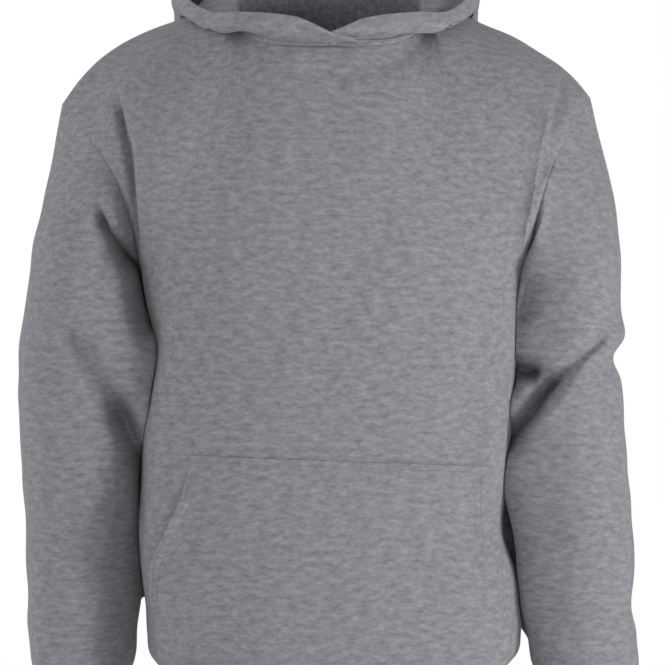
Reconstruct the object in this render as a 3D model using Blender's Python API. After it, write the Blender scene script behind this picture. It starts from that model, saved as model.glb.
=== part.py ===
"""Pullover hoodie in heather fleece, in its worn form with no wearer inside.

Front, back, two set-in sleeves with ribbed cuffs, a ribbed hem band, a kangaroo pocket, and a
two-panel hood that hangs down the back and crosses over itself at the throat. Metres, +Z up, the
wearer faces -Y and the wearer's left is +X. The origin is where the shoulders carry the garment: the
middle of the neck, just below the level of the shoulder seams at the neck.
"""

import functools
import math

import bmesh
import bpy
import numpy as np
from mathutils import Vector
from mathutils.bvhtree import BVHTree

NAME = "pullover_hoodie"
HEATHER = (0.24, 0.24, 0.25)  # linear colour of the heather-grey cloth

FLEECE = 0.0022  # wall of the brushed fleece
HOOD_HEM = 0.0044  # the hood's rim, turned in and doubled
RIB_WALL = 0.0024  # wall of the rib knit between its ribs
RIB_RAISE = 0.0010  # how far a rib stands out
SEAM_GAP = 0.0003  # air left between two sewn pieces
CLOTH_CLEAR = 0.0012  # air left where one layer of cloth lies on another
INSIDE_SLANT = 0.4  # a point is inside a surface where its way out slants less than this
DEEPEST = 0.03  # and where it is no deeper than this

SHOULDER_SPANS = 5  # columns of a panel along one shoulder seam
NECK_SPANS = 12  # columns of a panel along its half of the neck
PANEL_SPANS = 2 * SHOULDER_SPANS + NECK_SPANS
ARMHOLE_SPANS = 9  # rows of a panel along its half of an armhole
BODY_SQUARENESS = 2.5  # power of the superellipse of a body ring: 2 is an ellipse
SIDE_SEAM_Y = 0.002

# The body's rings from the hem seam up to the underarms. Columns: height, the wearer's right side,
# the wearer's left side, front, back.
BODY = (
    (-0.650, -0.170, 0.176, -0.114, 0.120),
    (-0.638, -0.181, 0.188, -0.124, 0.130),
    (-0.614, -0.1855, 0.1935, -0.130, 0.135),
    (-0.588, -0.187, 0.192, -0.132, 0.136),
    (-0.555, -0.1915, 0.189, -0.132, 0.135),
    (-0.512, -0.194, 0.1755, -0.131, 0.133),
    (-0.470, -0.192, 0.179, -0.130, 0.131),
    (-0.425, -0.190, 0.183, -0.129, 0.130),
    (-0.373, -0.1835, 0.187, -0.129, 0.130),
    (-0.317, -0.178, 0.191, -0.130, 0.133),
    (-0.275, -0.187, 0.194, -0.132, 0.138),
    (-0.244, -0.192, 0.198, -0.133, 0.142),
)
BODY_ROWS = (
    -0.650, -0.640, -0.624, -0.598, -0.568, -0.538, -0.508,
    -0.474, -0.438, -0.398, -0.357, -0.317, -0.280, -0.244,
)  # fmt: skip

# The armholes from the shoulder point (0) to the underarm (1). Columns: place, distance out, height,
# front edge, back edge.
ARMHOLE = {
    "right": (
        (0.00, 0.272, -0.079, 0.004, 0.004),
        (0.20, 0.247, -0.107, -0.040, 0.046),
        (0.45, 0.220, -0.145, -0.067, 0.075),
        (0.70, 0.204, -0.185, -0.062, 0.069),
        (0.88, 0.196, -0.218, -0.036, 0.040),
        (1.00, 0.192, -0.244, 0.002, 0.002),
    ),
    "left": (
        (0.00, 0.264, -0.072, 0.004, 0.004),
        (0.20, 0.246, -0.101, -0.040, 0.046),
        (0.45, 0.223, -0.141, -0.067, 0.075),
        (0.70, 0.209, -0.183, -0.062, 0.069),
        (0.88, 0.202, -0.217, -0.036, 0.040),
        (1.00, 0.198, -0.244, 0.002, 0.002),
    ),
}

# The line of the shoulder seams. Columns: distance out, height.
SHOULDER = {
    "right": (
        (0.100, 0.021), (0.130, 0.014), (0.161, 0.004), (0.190, -0.007), (0.215, -0.020),
        (0.240, -0.039), (0.258, -0.059), (0.272, -0.079),
    ),
    "left": (
        (0.100, 0.021), (0.130, 0.013), (0.158, 0.001), (0.187, -0.011), (0.212, -0.026),
        (0.235, -0.041), (0.252, -0.057), (0.264, -0.072),
    ),
}  # fmt: skip

# The neck seam from the throat (0 degrees) to the nape (180). Columns: turn, out, depth, height.
NECK = (
    (-20, -0.034, -0.090, -0.0255),
    (0, 0.000, -0.092, -0.026),
    (22, 0.037, -0.090, -0.0255),
    (45, 0.068, -0.078, -0.021),
    (65, 0.088, -0.054, -0.009),
    (80, 0.097, -0.027, 0.009),
    (90, 0.100, -0.006, 0.021),
    (110, 0.095, 0.024, 0.030),
    (135, 0.072, 0.048, 0.034),
    (160, 0.034, 0.061, 0.035),
    (180, 0.000, 0.063, 0.035),
)

# Each half of the hood, read round the neck, as the profile of its cloth from the neck seam to the
# rim. Columns: turn round the neck, direction outward (both in degrees from the throat), then
# distance out and height of the stand, the slope, the fold at the bottom, the wall and the rim.
HOOD = (
    (0, 0, 0.001, -0.0230, 0.004, -0.0205, 0.008, -0.0190, 0.0110, -0.0140, 0.010, -0.007),
    (22, 41, 0.001, -0.0210, 0.006, -0.0170, 0.011, -0.0145, 0.0150, -0.0060, 0.013, 0.003),
    (45, 66, 0.000, -0.0150, 0.010, -0.0130, 0.020, -0.0115, 0.0250, -0.0020, 0.022, 0.008),
    (65, 84, -0.002, -0.0020, 0.013, -0.0030, 0.030, -0.0090, 0.0370, 0.0010, 0.034, 0.011),
    (80, 93, -0.004, 0.0160, 0.018, 0.0130, 0.044, 0.0030, 0.0530, 0.0140, 0.050, 0.026),
    (90, 99, -0.005, 0.0300, 0.020, 0.0250, 0.050, 0.0070, 0.0600, 0.0220, 0.057, 0.038),
    (110, 112, -0.005, 0.0400, 0.026, 0.0320, 0.060, -0.0100, 0.0730, 0.0160, 0.069, 0.048),
    (125, 130, -0.004, 0.0450, 0.034, 0.0240, 0.072, -0.0720, 0.0940, -0.0250, 0.084, 0.052),
    (140, 146, -0.004, 0.0470, 0.042, 0.0100, 0.082, -0.1360, 0.1100, -0.0600, 0.094, 0.053),
    (160, 165, -0.004, 0.0480, 0.048, -0.0100, 0.090, -0.1750, 0.1200, -0.0800, 0.102, 0.052),
    (180, 180, -0.004, 0.0480, 0.052, -0.0200, 0.092, -0.1880, 0.1230, -0.0880, 0.105, 0.050),
)
# Past the throat each half tapers down into the seam. Columns: turn, share of the profile left.
HOOD_TAPER = ((-15, 0.42), (0, 0.78), (15, 1.0), (180, 1.0))
HOOD_TURNS = tuple(range(-15, 181, 15))
HOOD_ROWS = 14
HOOD_LAP = ((-15, 1.0), (15, 1.0), (30, 0.5), (45, 0.0), (180, 0.0))  # turn, share of the lap
HOOD_CLEAR = 0.006  # air left between the hanging hood and the body
# How far each half stands out, as a share of its profile. Columns: turn, wearer's right, wearer's left.
HOOD_SPREAD = ((-15, 1, 1), (45, 1, 1), (80, 0.97, 0.84), (110, 0.97, 0.84), (150, 1, 1), (180, 1, 1))

# The sleeves, ring by ring from the armhole down. Columns: height and distance out on the outer
# side, height and distance out on the inner side, front, back.
SLEEVE = {
    "right": (
        (-0.079, 0.272, -0.244, 0.1920, -0.068, 0.076),
        (-0.120, 0.280, -0.258, 0.1940, -0.078, 0.086),
        (-0.155, 0.287, -0.272, 0.1920, -0.081, 0.089),
        (-0.190, 0.294, -0.289, 0.1885, -0.082, 0.089),
        (-0.225, 0.301, -0.308, 0.1845, -0.081, 0.087),
        (-0.260, 0.306, -0.328, 0.1830, -0.079, 0.084),
        (-0.295, 0.310, -0.349, 0.1845, -0.077, 0.080),
        (-0.330, 0.315, -0.371, 0.1870, -0.075, 0.075),
        (-0.362, 0.316, -0.393, 0.1895, -0.073, 0.070),
        (-0.394, 0.315, -0.417, 0.1925, -0.072, 0.065),
        (-0.426, 0.314, -0.442, 0.1945, -0.071, 0.061),
        (-0.458, 0.312, -0.469, 0.1960, -0.070, 0.057),
        (-0.490, 0.310, -0.497, 0.1975, -0.069, 0.053),
        (-0.522, 0.309, -0.526, 0.1975, -0.068, 0.050),
        (-0.554, 0.308, -0.556, 0.1955, -0.067, 0.047),
        (-0.586, 0.307, -0.587, 0.1930, -0.066, 0.044),
        (-0.614, 0.306, -0.614, 0.1970, -0.064, 0.042),
        (-0.636, 0.305, -0.636, 0.1990, -0.063, 0.041),
        (-0.652, 0.301, -0.652, 0.2030, -0.060, 0.038),
        (-0.663, 0.293, -0.663, 0.2110, -0.053, 0.031),
        (-0.668, 0.286, -0.668, 0.2180, -0.046, 0.024),
    ),
    "left": (
        (-0.072, 0.264, -0.244, 0.1980, -0.068, 0.076),
        (-0.113, 0.274, -0.258, 0.1995, -0.077, 0.086),
        (-0.149, 0.283, -0.273, 0.1980, -0.080, 0.089),
        (-0.185, 0.289, -0.290, 0.1965, -0.081, 0.089),
        (-0.220, 0.294, -0.309, 0.1950, -0.080, 0.087),
        (-0.256, 0.295, -0.329, 0.1935, -0.078, 0.084),
        (-0.290, 0.295, -0.349, 0.1925, -0.076, 0.080),
        (-0.314, 0.298, -0.369, 0.1910, -0.075, 0.075),
        (-0.335, 0.287, -0.388, 0.1895, -0.072, 0.070),
        (-0.358, 0.295, -0.407, 0.1880, -0.072, 0.066),
        (-0.388, 0.298, -0.429, 0.1865, -0.071, 0.062),
        (-0.424, 0.300, -0.455, 0.1860, -0.070, 0.058),
        (-0.460, 0.303, -0.482, 0.1900, -0.069, 0.054),
        (-0.496, 0.306, -0.510, 0.1970, -0.068, 0.051),
        (-0.528, 0.308, -0.538, 0.2000, -0.067, 0.047),
        (-0.560, 0.308, -0.567, 0.2000, -0.066, 0.045),
        (-0.592, 0.306, -0.596, 0.2000, -0.064, 0.043),
        (-0.618, 0.311, -0.620, 0.2010, -0.065, 0.042),
        (-0.646, 0.313, -0.646, 0.2050, -0.062, 0.040),
        (-0.660, 0.303, -0.660, 0.2140, -0.054, 0.032),
        (-0.666, 0.295, -0.666, 0.2270, -0.046, 0.024),
    ),
}
SLEEVE_SQUARENESS = 2.2
# How far a sleeve's inner back corner reaches in behind the body. Columns: height, wearer's right,
# wearer's left.
TUCK = (
    (-0.244, 0.000, 0.000),
    (-0.272, 0.018, 0.018),
    (-0.295, 0.028, 0.028),
    (-0.425, 0.028, 0.030),
    (-0.470, 0.028, 0.040),
    (-0.512, 0.028, 0.046),
    (-0.545, 0.028, 0.040),
    (-0.575, 0.018, 0.034),
    (-0.595, 0.004, 0.032),
    (-0.615, 0.000, 0.018),
    (-0.635, 0.000, 0.000),
)
TUCK_TURN = math.radians(230)  # where that corner lies on the sleeve's ring
TUCK_SPREAD = math.radians(50)
SLEEVE_CLEAR = 0.0020  # air left between a hanging sleeve and the body
HEAD_FADE = 4  # rings over which the armhole's own curve dies away into the sleeve's ellipses

CUFF_LENGTH = 0.065
CUFF_RIBS = 30
HEM_LENGTH = 0.065
HEM_RIBS = 90
RIB_ROWS = 3

# The kangaroo pocket's side edges. Columns: height, distance to the wearer's right and left of the
# middle, both along the cloth.
POCKET = (
    (-0.650, 0.196, 0.195),
    (-0.600, 0.198, 0.195),
    (-0.575, 0.196, 0.189),
    (-0.540, 0.181, 0.180),
    (-0.510, 0.160, 0.1745),
    (-0.482, 0.1465, 0.170),
    (-0.455, 0.140, 0.167),
    (-0.430, 0.137, 0.165),
)
POCKET_TOP = (-0.432, -0.443)  # height of the top edge at the wearer's right and left end
POCKET_ROW_LEAST = 0.012  # least height of the pocket's top row of faces
POCKET_PUFF = 0.0030  # how far it stands off the front in its middle and at its openings

# The largest folds, seen from the front. Columns: piece, one end (x, z), other end (x, z), depth
# (negative stands out), half width.
FOLDS = (
    ("sleeve_right", -0.226, -0.190, -0.205, -0.290, 0.011, 0.013),
    ("sleeve_right", -0.266, -0.309, -0.194, -0.452, 0.007, 0.015),
    ("sleeve_left", 0.276, -0.317, 0.190, -0.416, 0.009, 0.013),
    ("sleeve_left", 0.190, -0.350, 0.212, -0.347, 0.008, 0.012),
    ("front_panel", -0.217, -0.090, -0.196, -0.200, 0.004, 0.016),
    ("front_panel", 0.154, -0.405, 0.156, -0.500, -0.003, 0.014),
)


def along(table, keys):
    """A table's rows, read at any keys of its first column on a smooth curve through its rows."""
    table = np.asarray(table, float)
    if table[0, 0] > table[-1, 0]:
        table = table[::-1]
    knots, values = table[:, 0], table[:, 1:]
    slopes = np.gradient(values, knots, axis=0)
    at = np.clip(np.atleast_1d(np.asarray(keys, float)), knots[0], knots[-1])
    first = np.clip(np.searchsorted(knots, at) - 1, 0, len(knots) - 2)
    span = (knots[first + 1] - knots[first])[:, None]
    t = (at - knots[first])[:, None] / span
    return hermite(values[first], values[first + 1], span * slopes[first], span * slopes[first + 1], t)


def hermite(start, end, start_slope, end_slope, t):
    return (
        (1 + 2 * t) * (1 - t) ** 2 * start
        + t * (1 - t) ** 2 * start_slope
        + t * t * (3 - 2 * t) * end
        + t * t * (t - 1) * end_slope
    )


def rounded(angle, squareness):
    """Cosine and sine of a superellipse."""
    c, s = np.cos(angle), np.sin(angle)
    power = 2 / squareness
    return np.sign(c) * np.abs(c) ** power, np.sign(s) * np.abs(s) ** power


def fade(x):
    """1 at 0 and less, 0 at 1 and more, smooth between."""
    x = np.clip(x, 0, 1)
    return 1 - x * x * (3 - 2 * x)


def unit(vectors):
    return vectors / np.maximum(np.linalg.norm(vectors, axis=-1, keepdims=True), 1e-12)


def side_sign(side):
    return -1 if side == "right" else 1


# Surfaces. Each is a grid of points, rows by columns. The columns run so that column direction
# crossed with row direction points out of the cloth's outer face.


def body_row(height, half, angles):
    """Half a ring of the body at a height: half is "front" or "back", angles from right to left."""
    right, left, front, back = along(BODY, height)[0]
    c, s = rounded(angles, BODY_SQUARENESS)
    depth = (front if half == "front" else back) - SIDE_SEAM_Y
    x = (left + right) / 2 - (left - right) / 2 * c
    return np.stack([x, SIDE_SEAM_Y + depth * s, np.full_like(x, height)], axis=-1)


def armhole_edge(side, half, places):
    out, height, front, back = along(ARMHOLE[side], places).T
    return np.stack([side_sign(side) * out, front if half == "front" else back, height], axis=-1)


def neck_edge(turns):
    """Points of the neck seam. A negative turn lies on the wearer's right."""
    turns = np.asarray(turns, float)
    out, depth, height = along(NECK, np.abs(turns)).T
    return np.stack([np.sign(turns) * np.abs(out), depth, height], axis=-1)


def panel_top(half):
    """The top edge of a body panel, right to left: shoulder seam, neck edge, shoulder seam."""
    neck = neck_edge(np.linspace(-90, 90, NECK_SPANS + 1))
    if half == "back":
        turns = 180 - np.linspace(-90, 90, NECK_SPANS + 1)
        neck = neck_edge(np.where(turns > 180, turns - 360, turns))
        neck = neck[np.argsort(neck[:, 0])]
        neck[NECK_SPANS // 2, 0] = 0
    shoulders = {}
    for side in ("right", "left"):
        tip = armhole_edge(side, half, [0.0])[0]
        end = neck[0] if side == "right" else neck[-1]
        t = np.linspace(0, 1, SHOULDER_SPANS + 1)[:-1]
        points = tip + (end - tip) * t[:, None]
        points[:, 2] = along(SHOULDER[side], np.abs(points[:, 0]))[:, 0]
        points[0] = tip
        shoulders[side] = points
    return np.concatenate([shoulders["right"], neck, shoulders["left"][::-1]])


def panel(half):
    """Front or back of the body, from the hem seam to the shoulder and neck seams."""
    angles = np.linspace(0, math.pi, PANEL_SPANS + 1)
    rows = [body_row(height, half, angles) for height in BODY_ROWS]
    chest, top = rows[-1], panel_top(half)
    toward = 1 if half == "front" else -1  # the way over the shoulder
    column = np.arange(PANEL_SPANS + 1)
    neckward = np.clip((column - SHOULDER_SPANS) / NECK_SPANS, 0, 1)
    neckward = np.sin(math.pi * neckward)[:, None] ** 0.7
    over_shoulder = np.array([0, toward * 1.0, 0.1])
    up_neck = np.array([0, toward * 0.42, 0.9])
    reach = np.linalg.norm(top - chest, axis=1, keepdims=True)
    end_slope = unit(over_shoulder * (1 - neckward) + up_neck * neckward) * reach * 0.95
    start_slope = np.array([0, 0, 1.0]) * reach
    edge_share = column / PANEL_SPANS
    for step in range(1, ARMHOLE_SPANS + 1):
        t = step / ARMHOLE_SPANS
        row = hermite(chest, top, start_slope, end_slope, t)
        for side, share in (("right", edge_share), ("left", 1 - edge_share)):
            end = 0 if side == "right" else -1
            missed = armhole_edge(side, half, [1 - t])[0] - row[end]
            row = row + fade(share / 0.34)[:, None] * missed
        rows.append(row)
    rows[-1] = top
    grid = np.array(rows)
    return grid if half == "front" else grid[:, ::-1]


def sleeve(side):
    """Rings from the armhole down. Each starts on the outer side and goes round by the front."""
    sign = side_sign(side)
    around = 2 * ARMHOLE_SPANS
    angles = np.arange(around) * 2 * math.pi / around
    c, s = rounded(angles, SLEEVE_SQUARENESS)
    rings = []
    for z_out, x_out, z_in, x_in, front, back in SLEEVE[side]:
        x = sign * ((x_out + x_in) / 2 + (x_out - x_in) / 2 * c)
        y = np.where(s > 0, -front, back) * -s
        z = (z_out + z_in) / 2 + (z_out - z_in) / 2 * c
        corner = fade(np.abs(angles - TUCK_TURN) / TUCK_SPREAD)
        x -= sign * corner * along(TUCK, z_in)[0, 0 if side == "right" else 1]
        rings.append(np.stack([x, y + SIDE_SEAM_Y, z], axis=-1))
    places = np.linspace(0, 1, ARMHOLE_SPANS + 1)
    front_edge = armhole_edge(side, "front", places)
    back_edge = armhole_edge(side, "back", places)[1:-1][::-1]
    head = np.concatenate([front_edge, back_edge])
    missed = head - rings[0]
    for k in range(HEAD_FADE):
        rings[k] = rings[k] + fade(k / HEAD_FADE) * missed
    return np.array(rings)


def hood_thickness():
    """The hood's wall, row by row, doubled at the rim."""
    rows = np.arange(HOOD_ROWS + 1)
    return np.interp(rows, [HOOD_ROWS - 3, HOOD_ROWS - 1], [FLEECE, HOOD_HEM])[:, None]


def hood_half(side):
    """Half the hood: rows from the neck seam to the rim, columns from the throat to the nape.

    The wearer's right half laps over the left at the throat.
    """
    columns = []
    for turn in HOOD_TURNS:
        outward, *profile = along(HOOD, abs(turn))[0]
        outward = math.radians(math.copysign(outward, turn))
        seam = neck_edge([turn])[0]
        points = np.array([(0.0, seam[2]), *zip(profile[::2], profile[1::2], strict=True)])
        lengths = np.linalg.norm(np.diff(points, axis=0), axis=1)
        run = np.concatenate([[0], np.cumsum(np.sqrt(lengths))])
        share = np.interp(turn, *np.transpose(HOOD_TAPER))
        keyed = np.column_stack([run / run[-1], points])
        out, height = along(keyed, np.linspace(0, share, HOOD_ROWS + 1)).T
        out = out * along(HOOD_SPREAD, abs(turn))[0, 0 if side == "right" else 1]
        spot = seam[:2] + out[:, None] * np.array([math.sin(outward), -math.cos(outward)])
        columns.append(np.column_stack([spot, height]))
    grid = np.array(columns).transpose(1, 0, 2)
    if side == "left":
        return grid
    lap = np.interp(HOOD_TURNS, *np.transpose(HOOD_LAP)) * (hood_thickness() + CLOTH_CLEAR)
    out = ring_normals(grid, False)
    out[0, :, 2] = 0  # the neck seam's edge stays level
    grid = grid + out * lap[..., None]
    return grid[:, ::-1] * np.array([-1, 1, 1])


def ring_normals(grid, closed):
    """Outward unit normals of a grid. closed says that its last column meets its first."""
    if closed:
        padded = np.concatenate([grid[:, -1:], grid, grid[:, :1]], axis=1)
        across = padded[:, 2:] - padded[:, :-2]
    else:
        across = np.gradient(grid, axis=1)
    return unit(np.cross(across, np.gradient(grid, axis=0)))


def pressed(name, grid, normals):
    """The grid with the folds of its piece pressed in, on the side that faces the front."""
    facing = np.clip(-normals[..., 1] * 1.6, 0, 1)
    depth = np.zeros(grid.shape[:2])
    for piece, x0, z0, x1, z1, deep, width in FOLDS:
        if piece != name:
            continue
        start, run = np.array([x0, z0]), np.array([x1 - x0, z1 - z0])
        flat = grid[..., [0, 2]] - start
        share = np.clip(flat @ run / (run @ run), 0, 1)
        off = np.linalg.norm(flat - share[..., None] * run, axis=-1)
        depth += deep * np.exp(-((off / width) ** 2)) * np.sin(math.pi * (0.15 + 0.7 * share))
    return grid - normals * (depth * facing)[..., None]


def tree_of(grid, closed):
    """A tree of a grid's faces, for measuring to them."""
    rows, columns = grid.shape[:2]
    faces = []
    for r in range(rows - 1):
        for c in range(columns if closed else columns - 1):
            d = (c + 1) % columns
            low, high = r * columns, (r + 1) * columns
            faces.append((low + c, low + d, high + d, high + c))
    return BVHTree.FromPolygons([Vector(p) for p in grid.reshape(-1, 3)], faces)


def clear_of(grid, under, gap, skip_rows=0):
    """The grid moved off a surface under it, wherever it lies inside it or nearer than gap."""
    moved = grid.copy()
    for index in np.ndindex(*grid.shape[:2]):
        if index[0] < skip_rows:
            continue
        found, normal, _, distance = under.find_nearest(Vector(grid[index]))
        away = Vector(grid[index]) - found
        height = away.dot(normal)
        slant = (away - normal * height).length
        inside = -DEEPEST < height < 0 and slant < INSIDE_SLANT * -height
        if inside:
            moved[index] = np.array(found + normal * gap)
        elif distance < gap and height > 0:
            moved[index] = np.array(found + away.normalized() * gap)
    return moved


# Solids.


def collection():
    made = bpy.data.collections.new(NAME)
    bpy.context.scene.collection.children.link(made)
    return made


def material(name):
    made = bpy.data.materials.new(name)
    made.use_nodes = True
    shader = made.node_tree.nodes["Principled BSDF"]
    shader.inputs["Base Color"].default_value = (*HEATHER, 1)
    shader.inputs["Roughness"].default_value = 0.9
    return made


def wall(name, outer, inner, closed, into, merge=False):
    """One closed solid between an outer and an inner grid. merge joins points that fall together."""
    rows, columns = outer.shape[:2]
    points = np.concatenate([outer.reshape(-1, 3), inner.reshape(-1, 3)])
    offset = rows * columns
    spans = columns if closed else columns - 1

    def at(r, c, side):
        return side * offset + r * columns + c % columns

    faces = []
    for r in range(rows - 1):
        for c in range(spans):
            faces.append([at(r, c, 0), at(r, c + 1, 0), at(r + 1, c + 1, 0), at(r + 1, c, 0)])
            faces.append([at(r, c, 1), at(r + 1, c, 1), at(r + 1, c + 1, 1), at(r, c + 1, 1)])
    for c in range(spans):
        faces += end_face(points, at(0, c + 1, 0), at(0, c, 0), offset)
        faces += end_face(points, at(rows - 1, c, 0), at(rows - 1, c + 1, 0), offset)
    if not closed:
        for r in range(rows - 1):
            faces += end_face(points, at(r, 0, 0), at(r + 1, 0, 0), offset)
            faces += end_face(points, at(r + 1, spans, 0), at(r, spans, 0), offset)
    mesh = bpy.data.meshes.new(name)
    mesh.from_pydata([tuple(p) for p in points], [], faces)
    if merge:
        edited = bmesh.new()
        edited.from_mesh(mesh)
        bmesh.ops.remove_doubles(edited, verts=edited.verts, dist=5e-5)
        edited.to_mesh(mesh)
        edited.free()
    mesh.validate()
    mesh.shade_smooth()
    mesh.set_sharp_from_angle(angle=math.radians(50))
    made = bpy.data.objects.new(name, mesh)
    mesh.materials.append(material(name + "_cloth"))
    into.objects.link(made)
    return made


def end_face(points, start, end, offset):
    """The wall's edge between two outer points, split alike on both sides of a seam."""
    if tuple(np.round(points[start][::-1], 3)) < tuple(np.round(points[end][::-1], 3)):
        return [[start, end, end + offset], [start, end + offset, start + offset]]
    return [[start, end, start + offset], [end, end + offset, start + offset]]


class Sheet:
    """A piece of cloth: its outer grid, and which of its edges are sewn."""

    def __init__(self, grid, closed, sewn=("bottom", "top", "first", "last"), thick=FLEECE):
        self.grid = grid
        self.closed = closed
        self.sewn = sewn
        self.thick = np.broadcast_to(np.asarray(thick, float), self.grid.shape[:2])
        self.normals = ring_normals(self.grid, closed)


def key_of(point):
    return tuple(np.round(point * 2e4).astype(int))


def mitres(sheets):
    """For each point that several sheets share: their mean normal, and how much longer a mitre is."""
    met = {}
    for sheet in sheets.values():
        rows, columns = sheet.grid.shape[:2]
        for r in range(rows):
            for c in range(columns):
                edge = r in (0, rows - 1) or (not sheet.closed and c in (0, columns - 1))
                if edge:
                    met.setdefault(key_of(sheet.grid[r, c]), []).append(sheet.normals[r, c])
    joined = {}
    for key, normals in met.items():
        if len(normals) > 1:
            mean = unit(np.sum(normals, axis=0))
            joined[key] = mean / max(0.5, float(np.mean(np.array(normals) @ mean)))
    return joined


def sheet_walls(sheet, joined):
    """Outer and inner grids of a sheet, mitred and parted by half a gap at each sewn edge."""
    outer, rows, columns = sheet.grid.copy(), *sheet.grid.shape[:2]
    inward = -sheet.normals.copy()
    for r in range(rows):
        for c in range(columns):
            mitre = joined.get(key_of(sheet.grid[r, c]))
            if mitre is not None:
                inward[r, c] = -mitre
    parted = np.zeros_like(outer)
    edges = {
        "bottom": ((0, slice(None)), (1, slice(None)), 1),
        "top": ((-1, slice(None)), (-2, slice(None)), 1),
        "first": ((slice(None), 0), (slice(None), 1), 0),
        "last": ((slice(None), -1), (slice(None), -2), 0),
    }
    for name in sheet.sewn:
        edge, beside, runs_round = edges[name]
        if sheet.closed and not runs_round:
            continue
        line, into = outer[edge], outer[beside] - outer[edge]
        if sheet.closed:
            tangent = np.roll(line, -1, axis=0) - np.roll(line, 1, axis=0)
        else:
            tangent = np.gradient(line, axis=0)
        away = unit(np.cross(tangent, inward[edge]))
        away *= np.sign(np.sum(away * into, axis=-1, keepdims=True))
        parted[edge] += away * SEAM_GAP / 2
    outer = outer + parted
    return outer, outer + inward * sheet.thick[..., None]


def ribbed_tube(name, ring_at, heights, ribs, into):
    """A rib-knit tube: ring_at(height, angles) gives its plain outer ring, counterclockwise."""
    angles = np.arange(2 * ribs) * math.pi / ribs
    plain = np.array([ring_at(height, angles) for height in heights])
    normals = ring_normals(plain, True)
    raised = np.where(np.arange(2 * ribs) % 2 == 0, RIB_RAISE, 0.0)
    outer = plain + normals * raised[None, :, None]
    return wall(name, outer, plain - normals * RIB_WALL, True, into)


def hem_ring(height, angles):
    """The hem band's ring, counterclockwise from the wearer's right."""
    right, left, front, back = along(BODY, BODY[0][0])[0]
    c, s = rounded(angles, BODY_SQUARENESS)
    y = np.where(s > 0, front, back)
    x = (left + right) / 2 - (left - right) / 2 * c
    return np.stack([x, SIDE_SEAM_Y + (y - SIDE_SEAM_Y) * np.abs(s), np.full_like(x, height)], axis=-1)


def cuff_ring(side, height, angles):
    """A cuff's ring, counterclockwise."""
    _, x_out, _, x_in, front, back = SLEEVE[side][-1]
    c, s = rounded(angles, SLEEVE_SQUARENESS)
    x = side_sign(side) * (x_out + x_in) / 2 - (x_out - x_in) / 2 * c
    y = SIDE_SEAM_Y + (front + back) / 2 - s * (back - front) / 2
    return np.stack([x, y, np.full_like(x, height)], axis=-1)


def rib_heights(top, length):
    return np.linspace(top - SEAM_GAP - length, top - SEAM_GAP, RIB_ROWS + 1)


def pocket(front, normals, into):
    """The pocket, made from the front's own points moved out, its ends cut to the pocket's edges."""
    middle = PANEL_SPANS // 2
    below = [r for r, height in enumerate(BODY_ROWS) if height < min(POCKET_TOP) - POCKET_ROW_LEAST]
    places = np.array([pocket_places(front[r], BODY_ROWS[r], middle) for r in below])
    top = pocket_places(front[below[-1] + 1], max(POCKET_TOP), middle)
    used = np.any(np.abs(np.diff(np.vstack([places, top]), axis=1)) > 1e-9, axis=0)
    first, last = np.flatnonzero(used)[[0, -1]] + [0, 1]
    places, top = places[:, first : last + 1], top[first : last + 1]
    heights = np.interp(np.linspace(0, 1, len(top)), [0, 1], POCKET_TOP)
    spots = [[(r, p) for p in row] for r, row in zip(below, places)]
    spots.append([(row_place(z), p) for p, z in zip(top, heights)])
    inner, outer = [], []
    for k, row in enumerate(spots):
        points = np.array([read_grid(front, r, p) for r, p in row])
        out = np.array([read_grid(normals, r, p) for r, p in row])
        if k == 0:
            out[:, 2] = 0  # the hem seam's edge stays level
        out = unit(out)
        across = np.linspace(0, 1, len(row))
        up = k / len(below)
        puff = np.sin(math.pi * up) * (0.6 + 0.4 * np.sin(math.pi * across)) * POCKET_PUFF
        clear = (CLOTH_CLEAR / 2 + puff)[:, None]
        inner.append(points + out * clear)
        outer.append(points + out * (clear + FLEECE))
    outer, inner = np.array(outer), np.array(inner)
    return wall("pocket", outer, inner, False, into, merge=True)


def pocket_places(line, height, middle):
    """Column places of the pocket on one row of the front, cut to the pocket's two edges."""
    run = np.concatenate([[0], np.cumsum(np.linalg.norm(np.diff(line, axis=0), axis=1))])
    run -= run[middle]
    right, left = along(POCKET, height)[0]
    return np.interp(np.clip(run, -right, left), run, np.arange(len(line)))


def row_place(height):
    return float(np.interp(height, BODY_ROWS, np.arange(len(BODY_ROWS))))


def read_grid(values, row, column):
    """A grid's value between its rows and columns."""
    r, c = min(int(row), values.shape[0] - 2), min(int(column), values.shape[1] - 2)
    v, u = row - r, column - c
    low = values[r, c] * (1 - u) + values[r, c + 1] * u
    high = values[r + 1, c] * (1 - u) + values[r + 1, c + 1] * u
    return low * (1 - v) + high * v


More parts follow.
